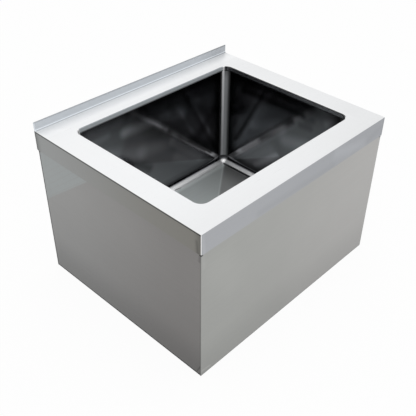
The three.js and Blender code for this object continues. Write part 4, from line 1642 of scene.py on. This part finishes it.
@dataclass
class Drain:
    """Flanged strainer cup with its threaded outlet, clamping ring, seals and waste coupling."""

    sink: Sink
    around: RoundRow
    thread: Thread
    cup: float = 41.5
    wall: float = 1.5
    cup_depth: float = 46.0
    flange: float = 15.5
    flange_sheet: float = 2.0
    flare: float = 2.5
    hole: float = 43.0
    outlet: float = 24.0
    outlet_length: float = 24.0
    seal: float = 1.2
    gasket: float = 3.0
    friction: float = 1.0
    ring_inset: float = 2.0
    nut_height: float = 12.0
    nut_width: float = 8.0
    lugs: int = 8
    lug_width: float = 9.0
    lug_length: float = 5.0
    spokes: int = 4
    spoke: float = 4.0
    hub: float = 7.0
    guide: float = 3.5
    spider_drop: float = 9.0
    coupling_wall: float = 5.0
    coupling_height: float = 20.0
    coupling_floor: float = 3.0
    washer: float = 3.0
    tail: float = 19.0
    pitch: float = 2.4
    groove: float = 0.5
    groove_out: float = 0.1
    cup_thread: Point = (2.0, 14.0)
    outlet_thread: Point = (1.5, 4.0)
    coupling_chamfer: Point = (2.2, 1.4)
    cup_ease: float = 1.2
    tube_ease: float = 0.4
    hub_ease: float = 0.6
    clamp_ease: float = 0.8
    lug_ease: float = 1.2

    @property
    def flange_foot(self) -> float:
        """Underside of the flange, above the seat."""
        return self.seal + 2 * self.sink.gap

    @property
    def flange_top(self) -> float:
        """Top of the flange."""
        return self.flange_foot + self.flange_sheet

    @property
    def cup_floor(self) -> float:
        """Inside of the cup's bottom."""
        return self.flange_top - self.cup_depth

    @property
    def outlet_foot(self) -> float:
        """Bottom of the outlet."""
        return self.cup_floor - self.wall - self.outlet_length

    @property
    def spider_top(self) -> float:
        """Top of the cross in the outlet."""
        return self.cup_floor - self.spider_drop

    @cached_property
    def finishes(self) -> dict[Slot, bpy.types.Material]:
        """The material of each slot of the drain and its basket."""
        looks = {
            Slot.DRAIN: ("drain_polish", Lathed((0.62, 0.63, 0.64), 0.2)),
            Slot.ZINC: ("zinc_plating", Lathed((0.47, 0.49, 0.49), 0.45, dull=0.25)),
            Slot.BRASS: ("machined_brass", Lathed((0.62, 0.43, 0.19), 0.34, dull=0.1)),
            Slot.RUBBER: ("seal_rubber", Moulded((0.025, 0.025, 0.026), 0.75)),
            Slot.FIBRE: ("vulcanised_fibre", Moulded((0.42, 0.33, 0.2), 0.85, 0.3)),
            Slot.NYLON: ("moulded_nylon", Moulded((0.8, 0.79, 0.74), 0.45, 0.04)),
        }
        return {slot: look.material(name) for slot, (name, look) in looks.items()}

    def install(self, solid: Solid, name: str, slot: Slot, node: str, body: Body = Body.SINK) -> None:
        """Lifts a piece from the drain's own heights to the bowl's seat and installs it.

        Args:
            solid: the piece.
            name: its name.
            slot: its slot, which also names its material.
            node: the node that it replaces.
            body: the body that it moves with.
        """
        solid.moved(Matrix.Translation((0, 0, self.sink.seat)))
        solid.piece(name, body, slot, self.finishes[slot], node)

    def threaded(self, solid: Solid, radius: float, low: float, length: float, plain: Point) -> Solid:
        """Cuts a thread into the outside of a turned piece.

        Args:
            solid: the piece.
            radius: its radius.
            low: its foot.
            length: its length.
            plain: how much stays plain below the thread, and how much in all.

        Returns:
            The piece.
        """
        rise = length - plain[1]
        groove = self.thread.make(
            self.finishes[Slot.DRAIN],
            Radius=radius + self.groove_out,
            Turns=rise / self.pitch,
            Rise=rise,
            Groove=self.groove,
        )
        return solid.cut(groove.moved(Matrix.Translation((0, 0, low + plain[0]))))

    def strainer(self) -> Solid:
        """The flanged cup, with the thread for its clamping ring cut on the outside."""
        bore, lip, slant = self.cup - self.wall, self.cup + self.flange, self.wall * math.sqrt(2)
        shell = Solid.turned(eased([
            (self.outlet - self.wall, self.cup_floor - self.wall),
            (self.cup - self.wall, self.cup_floor - self.wall),
            (self.cup, self.cup_floor),
            (self.cup, self.flange_top - self.flare + self.wall - slant),
            (bore + self.flare - self.flange_sheet + slant, self.flange_foot),
            (lip, self.flange_foot),
            (lip, self.flange_top - self.flange_sheet / 2),
            (lip - self.flange_sheet, self.flange_top),
            (bore + self.flare, self.flange_top),
            (bore, self.flange_top - self.flare),
            (bore, self.cup_floor),
            (self.outlet - self.wall, self.cup_floor),
        ], self.cup_ease))
        return self.threaded(shell, self.cup, self.cup_floor, self.cup_depth, self.cup_thread)

    def tube(self) -> Solid:
        """The outlet, threaded outside."""
        top = self.cup_floor - self.wall - self.sink.gap
        section = band(self.outlet - self.wall, self.outlet, self.outlet_foot, top)
        shell = Solid.turned(eased(section, self.tube_ease))
        return self.threaded(shell, self.outlet, self.outlet_foot, self.outlet_length, self.outlet_thread)

    def spread(self, solid: Solid, count: int) -> Solid:
        """Copies of a solid, evenly round the drain's axis."""
        return self.around.make(self.finishes[Slot.DRAIN], Shape=solid, Count=count)

    def cross(self) -> Solid:
        """Spokes and hub in the outlet, bored for the basket's post."""
        reach, half = self.outlet - self.wall - self.sink.gap, self.spoke / 2
        low, high = self.spider_top - self.spoke, self.spider_top
        spoke = Solid.prism(band(self.hub - 2, reach, -half, half), low, high)
        hub = Solid.turned(eased(band(self.guide, self.hub, low, high), self.hub_ease), 48)
        return hub.join(self.spread(spoke, self.spokes))

    def clamp(self, top: float) -> Solid:
        """The clamping ring, with lugs for a spanner."""
        bore, half = self.cup + self.sink.gap, self.lug_width / 2
        outer, low = bore + self.nut_width, top - self.nut_height
        ring = Solid.turned(eased(band(bore, outer, low, top), self.clamp_ease))
        plan = band(outer - self.nut_width / 2, outer + self.lug_length, -half, half)
        plan = eased(plan, self.lug_ease)
        return ring.join(self.spread(Solid.prism(plan, low, top - self.wall), self.lugs))

    def coupling(self, low: float) -> Solid:
        """The hexagon nut on the outlet, with its corners turned off."""
        bore, high = self.outlet + self.sink.gap, low + self.coupling_height
        bored = [
            (0, low - 1), (self.tail, low - 1), (self.tail, low + self.coupling_floor),
            (bore, low + self.coupling_floor), (bore, high + 1), (0, high + 1),
        ]
        nut = Solid.hexagon(bore + self.coupling_wall, low, high, self.coupling_chamfer, 120)
        return nut.cut(Solid.turned(bored))

    def collar(self, inner: float, outer: float, low: float, thick: float, ease: float) -> Solid:
        """A flat ring with eased edges."""
        return Solid.turned(eased(band(inner, outer, low, low + thick), ease))

    def build(self) -> None:
        """Makes and installs the drain."""
        gap, hole = self.sink.gap, self.hole
        rings = self.cup + self.flange - self.ring_inset
        gasket_low = -self.sink.sheet - gap - self.gasket
        friction_low = gasket_low - gap - self.friction
        washer_low = self.outlet_foot - gap - self.washer
        nut_low = washer_low - gap - self.coupling_floor
        self.install(self.strainer(), "strainer_cup", Slot.DRAIN, "strainer_body")
        self.install(self.tube(), "outlet_thread", Slot.DRAIN, "outlet_tube")
        self.install(self.cross(), "outlet_cross", Slot.DRAIN, "spider")
        seal = self.collar(hole, rings, gap, self.seal, 0.3)
        self.install(seal, "flange_ring", Slot.NYLON, "flange_seal")
        gasket = self.collar(hole, rings, gasket_low, self.gasket, 0.6)
        self.install(gasket, "gasket_ring", Slot.RUBBER, "under_gasket")
        friction = self.collar(hole, rings, friction_low, self.friction, 0.15)
        self.install(friction, "friction_ring", Slot.FIBRE, "friction_washer")
        self.install(self.clamp(friction_low - gap), "clamping_ring", Slot.ZINC, "locknut")
        self.install(self.coupling(nut_low), "slip_nut", Slot.BRASS, "coupling_nut")
        washer = self.collar(self.tail, self.outlet, washer_low, self.washer, 0.5)
        self.install(washer, "slip_washer", Slot.NYLON, "coupling_washer")
        Basket(self).build()


@dataclass
class Basket:
    """The lift-out basket: perforated cup, post, knob and rubber stopper."""

    drain: Drain
    clearance: float = 1.5
    wall: float = 1.0
    depth: float = 28.0
    post: float = 3.0
    drill: float = 2.4
    hole_rings: tuple[tuple[float, int], ...] = ((15.0, 10), (27.0, 18))
    slots: int = 20
    slot_width: float = 3.2
    slot_height: float = 13.0
    stopper: float = 29.0
    stopper_thick: float = 4.0
    backing: float = 12.0
    backing_thick: float = 1.2
    nut: float = 6.5
    nut_height: float = 4.5
    knob: float = 11.0
    knob_height: float = 9.0
    knob_neck: float = 5.0
    nut_chamfer: Point = (0.8, 0.6)
    cup_ease: float = 0.3
    stem_ease: float = 0.35
    knob_ease: float = 0.9

    @property
    def bore(self) -> float:
        """Radius of every hole round the post."""
        return self.post + self.drain.sink.gap

    @property
    def floor(self) -> float:
        """Underside of the basket."""
        return self.drain.flange_top - self.depth

    def cup(self) -> Solid:
        """The perforated cup with its flared rim."""
        outer = self.drain.cup - self.drain.wall - self.clearance
        flare, thin, floor = self.drain.flare, self.wall, self.floor
        flare_foot = self.drain.flange_top - flare - self.clearance + self.drain.sink.gap * math.sqrt(2)
        shell = Solid.turned(eased([
            (self.bore, floor), (outer - thin, floor), (outer, floor + thin), (outer, flare_foot),
            (outer + flare, flare_foot + flare), (outer + flare - thin, flare_foot + flare + thin / 2),
            (outer - thin, flare_foot + thin / 2), (outer - thin, floor + thin), (self.bore, floor + thin),
        ], self.cup_ease))
        for radius, count in self.hole_rings:
            drill = Solid.turned(band(0, self.drill, floor - 1, floor + thin + 1), 20)
            shell.cut(self.drain.spread(drill.moved(Matrix.Translation((radius, 0, 0))), count))
        foot = floor + (flare_foot - floor - self.slot_height) / 2
        half, inner = self.slot_width / 2, outer - thin - 1
        end = [
            *arc((0, foot + half), half, 180, 360, 10),
            *arc((0, foot + self.slot_height - half), half, 0, 180, 10),
        ]
        slot = Solid.lofted([[(x, y, z) for y, z in end] for x in (inner, outer + 1)], False)
        return shell.cut(self.drain.spread(slot, self.slots))

    def stem(self, stopper_top: float) -> Solid:
        """The post, with its collar under the basket."""
        gap = self.drain.sink.gap
        collar = self.bore + 1.0 + gap
        low = self.drain.spider_top - self.drain.spoke
        foot, head = stopper_top + self.backing_thick + 2 * gap, self.floor - gap
        top = self.drain.flange_top - self.knob_height / 2
        return Solid.turned(eased([
            (0, low), (self.post, low), (self.post, foot), (collar, foot),
            (collar, head), (self.post, head), (self.post, top), (0, top),
        ], self.stem_ease), 48)

    def grip(self) -> Solid:
        """The domed knob, bored for the post."""
        low = self.drain.flange_top - self.knob_height
        top, blind = self.drain.flange_top, low + self.knob_height / 2 + self.drain.sink.gap
        return Solid.turned(eased([
            (0, blind), (self.bore, blind), (self.bore, low),
            (self.knob_neck, low), (self.knob_neck + 1, low + 3.4),
            (self.knob, low + 4.8), (self.knob, low + 6.0), (self.knob - 1, top - 1.5), (0, top),
        ], self.knob_ease, 5), 64)

    def build(self) -> None:
        """Makes and installs the basket."""
        gap, collar, install = self.drain.sink.gap, self.drain.collar, self.drain.install
        stopper_low = self.drain.cup_floor + gap
        stopper_top = stopper_low + self.stopper_thick
        install(self.cup(), "basket_shell", Slot.DRAIN, "basket_cup", Body.BASKET)
        install(self.stem(stopper_top), "basket_stem", Slot.DRAIN, "basket_post", Body.BASKET)
        install(self.grip(), "basket_knob", Slot.DRAIN, "lift_knob", Body.BASKET)
        stopper = collar(self.bore, self.stopper, stopper_low, self.stopper_thick, 0.9)
        install(stopper, "stopper_disc", Slot.RUBBER, "stopper_seal", Body.BASKET)
        backing = collar(self.bore, self.backing, stopper_top + gap, self.backing_thick, 0.3)
        install(backing, "stopper_backing", Slot.DRAIN, "stopper_washer", Body.BASKET)
        high = stopper_low - gap
        low = high - self.nut_height
        nut = Solid.hexagon(self.nut, low, high, self.nut_chamfer, 60)
        nut.cut(Solid.turned(band(0, self.bore, low - 1, high + 1), 40))
        install(nut, "stopper_nut", Slot.BRASS, "retaining_nut", Body.BASKET)


# ---------------------------------------------------------------- studio


@dataclass
class Studio:
    """A plain white studio: floor, world, a soft lamp and the camera."""

    azimuth: float = -0.8484758
    elevation: float = 0.6417399
    roll: float = 0.0352146
    place: tuple[float, float, float] = (-0.9808646, -0.9188979, 1.1693664)
    lens: float = 56.425
    sensor: float = 36.0
    clip: tuple[float, float] = (0.05, 60.0)
    shift: tuple[float, float] = (-0.05257, -0.00391)
    floor_radius: float = 14.0
    floor_colour: Colour = (0.93, 0.93, 0.93)
    floor_glow: float = 0.95
    floor_drop: float = 0.0005
    sky: float = 0.8
    lit: tuple[float, float, float] = (0.0, 0.0, 0.3)
    lamp: str = "overhead"
    lamp_place: tuple[float, float, float] = (0.2, 0.0, 2.6)
    lamp_size: float = 1.4
    lamp_power: float = 9.0

    def seen(self, writer: NodeWriter) -> Signal:
        """1 for rays that should find the plain white background, 0 for the light itself."""
        path = writer.node("ShaderNodeLightPath")
        labels = ("Is Camera Ray", "Is Glossy Ray", "Is Transmission Ray")
        camera, glossy, through = (Signal(writer, path.outputs[label]) for label in labels)
        return camera.most(glossy).most(through)

    def world(self) -> None:
        """A white world, dimmer as a light than as a background."""
        world = bpy.data.worlds.new("white_room")
        world.use_nodes = True
        bpy.context.scene.world = world
        writer = NodeWriter(world.node_tree)
        writer.tree.nodes.clear()
        strength = self.seen(writer) * (1.0 - self.sky) + self.sky
        glow = writer.node("ShaderNodeBackground", None, {"Color": (1.0, 1.0, 1.0), "Strength": strength})
        writer.node("ShaderNodeOutputWorld", None, {"Surface": Signal(writer, glow.outputs[0])})

    def floor(self) -> None:
        """A plain pale floor that keeps the sink's shadow."""
        disc = bmesh.new()
        bmesh.ops.create_circle(disc, cap_ends=True, segments=64, radius=self.floor_radius)
        mesh = bpy.data.meshes.new("floor")
        disc.to_mesh(mesh)
        disc.free()
        mesh.transform(Matrix.Translation((0, 0, -self.floor_drop)))
        thing = linked("studio_floor", mesh)
        material = bpy.data.materials.new("studio_floor")
        material.use_nodes = True
        writer = NodeWriter(material.node_tree)
        writer.tree.nodes.clear()
        matt = writer.node("ShaderNodeBsdfDiffuse", None, {"Color": self.floor_colour})
        glow = writer.node("ShaderNodeEmission", None, {"Color": (1.0, 1.0, 1.0), "Strength": 1.0})
        mixed = writer.node("ShaderNodeMixShader", None, {
            0: self.seen(writer) * self.floor_glow,
            1: Signal(writer, matt.outputs[0]),
            2: Signal(writer, glow.outputs[0]),
        })
        writer.node("ShaderNodeOutputMaterial", None, {"Surface": Signal(writer, mixed.outputs[0])})
        mesh.materials.append(material)
        thing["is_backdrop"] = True

    def light(self) -> None:
        """A soft lamp that faces the sink."""
        lamp = bpy.data.lights.new(self.lamp, "AREA")
        lamp.shape, lamp.size, lamp.energy = "DISK", self.lamp_size, self.lamp_power
        thing = bpy.data.objects.new(self.lamp, lamp)
        bpy.context.scene.collection.objects.link(thing)
        thing.location = self.lamp_place
        thing.rotation_euler = (Vector(self.lit) - Vector(self.lamp_place)).to_track_quat("-Z", "Y").to_euler()

    def camera(self) -> None:
        """The camera at the photograph's place, with its roll and its framing."""
        flat = math.cos(self.elevation)
        back = Vector((math.sin(self.azimuth) * flat, -math.cos(self.azimuth) * flat, math.sin(self.elevation)))
        right = (-back).cross(Vector((0, 0, 1))).normalized()
        up = right.cross(-back)
        across = math.cos(self.roll) * right + math.sin(self.roll) * up
        upward = -math.sin(self.roll) * right + math.cos(self.roll) * up
        lens = bpy.data.cameras.new("camera")
        lens.sensor_width, lens.lens = self.sensor, self.lens
        lens.shift_x, lens.shift_y = self.shift
        lens.clip_start, lens.clip_end = self.clip
        thing = bpy.data.objects.new("camera", lens)
        bpy.context.scene.collection.objects.link(thing)
        turn = Matrix((across, upward, back)).transposed().to_4x4()
        thing.matrix_world = Matrix.Translation(self.place) @ turn
        bpy.context.scene.camera = thing

    def build(self) -> None:
        """Sets up the studio."""
        bpy.context.scene.view_settings.view_transform = "Standard"
        self.world()
        self.floor()
        self.light()
        self.camera()


def main() -> None:
    """Builds the sink and its studio."""
    logging.basicConfig(level=logging.INFO, format="%(message)s")
    sink = Sink()
    folded = FoldedSheet()
    Studio().build()
    for assembly in (Rim(sink, folded), Bowl(sink), Skirts(sink, folded), Drain(sink, RoundRow(), Thread())):
        assembly.build()
    boxes = {"cad": CAD_BOUNDS, "visual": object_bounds()}
    {label: [list(corner) for corner in box] for label, box in boxes.items()}


if __name__ == "__main__":
    main()
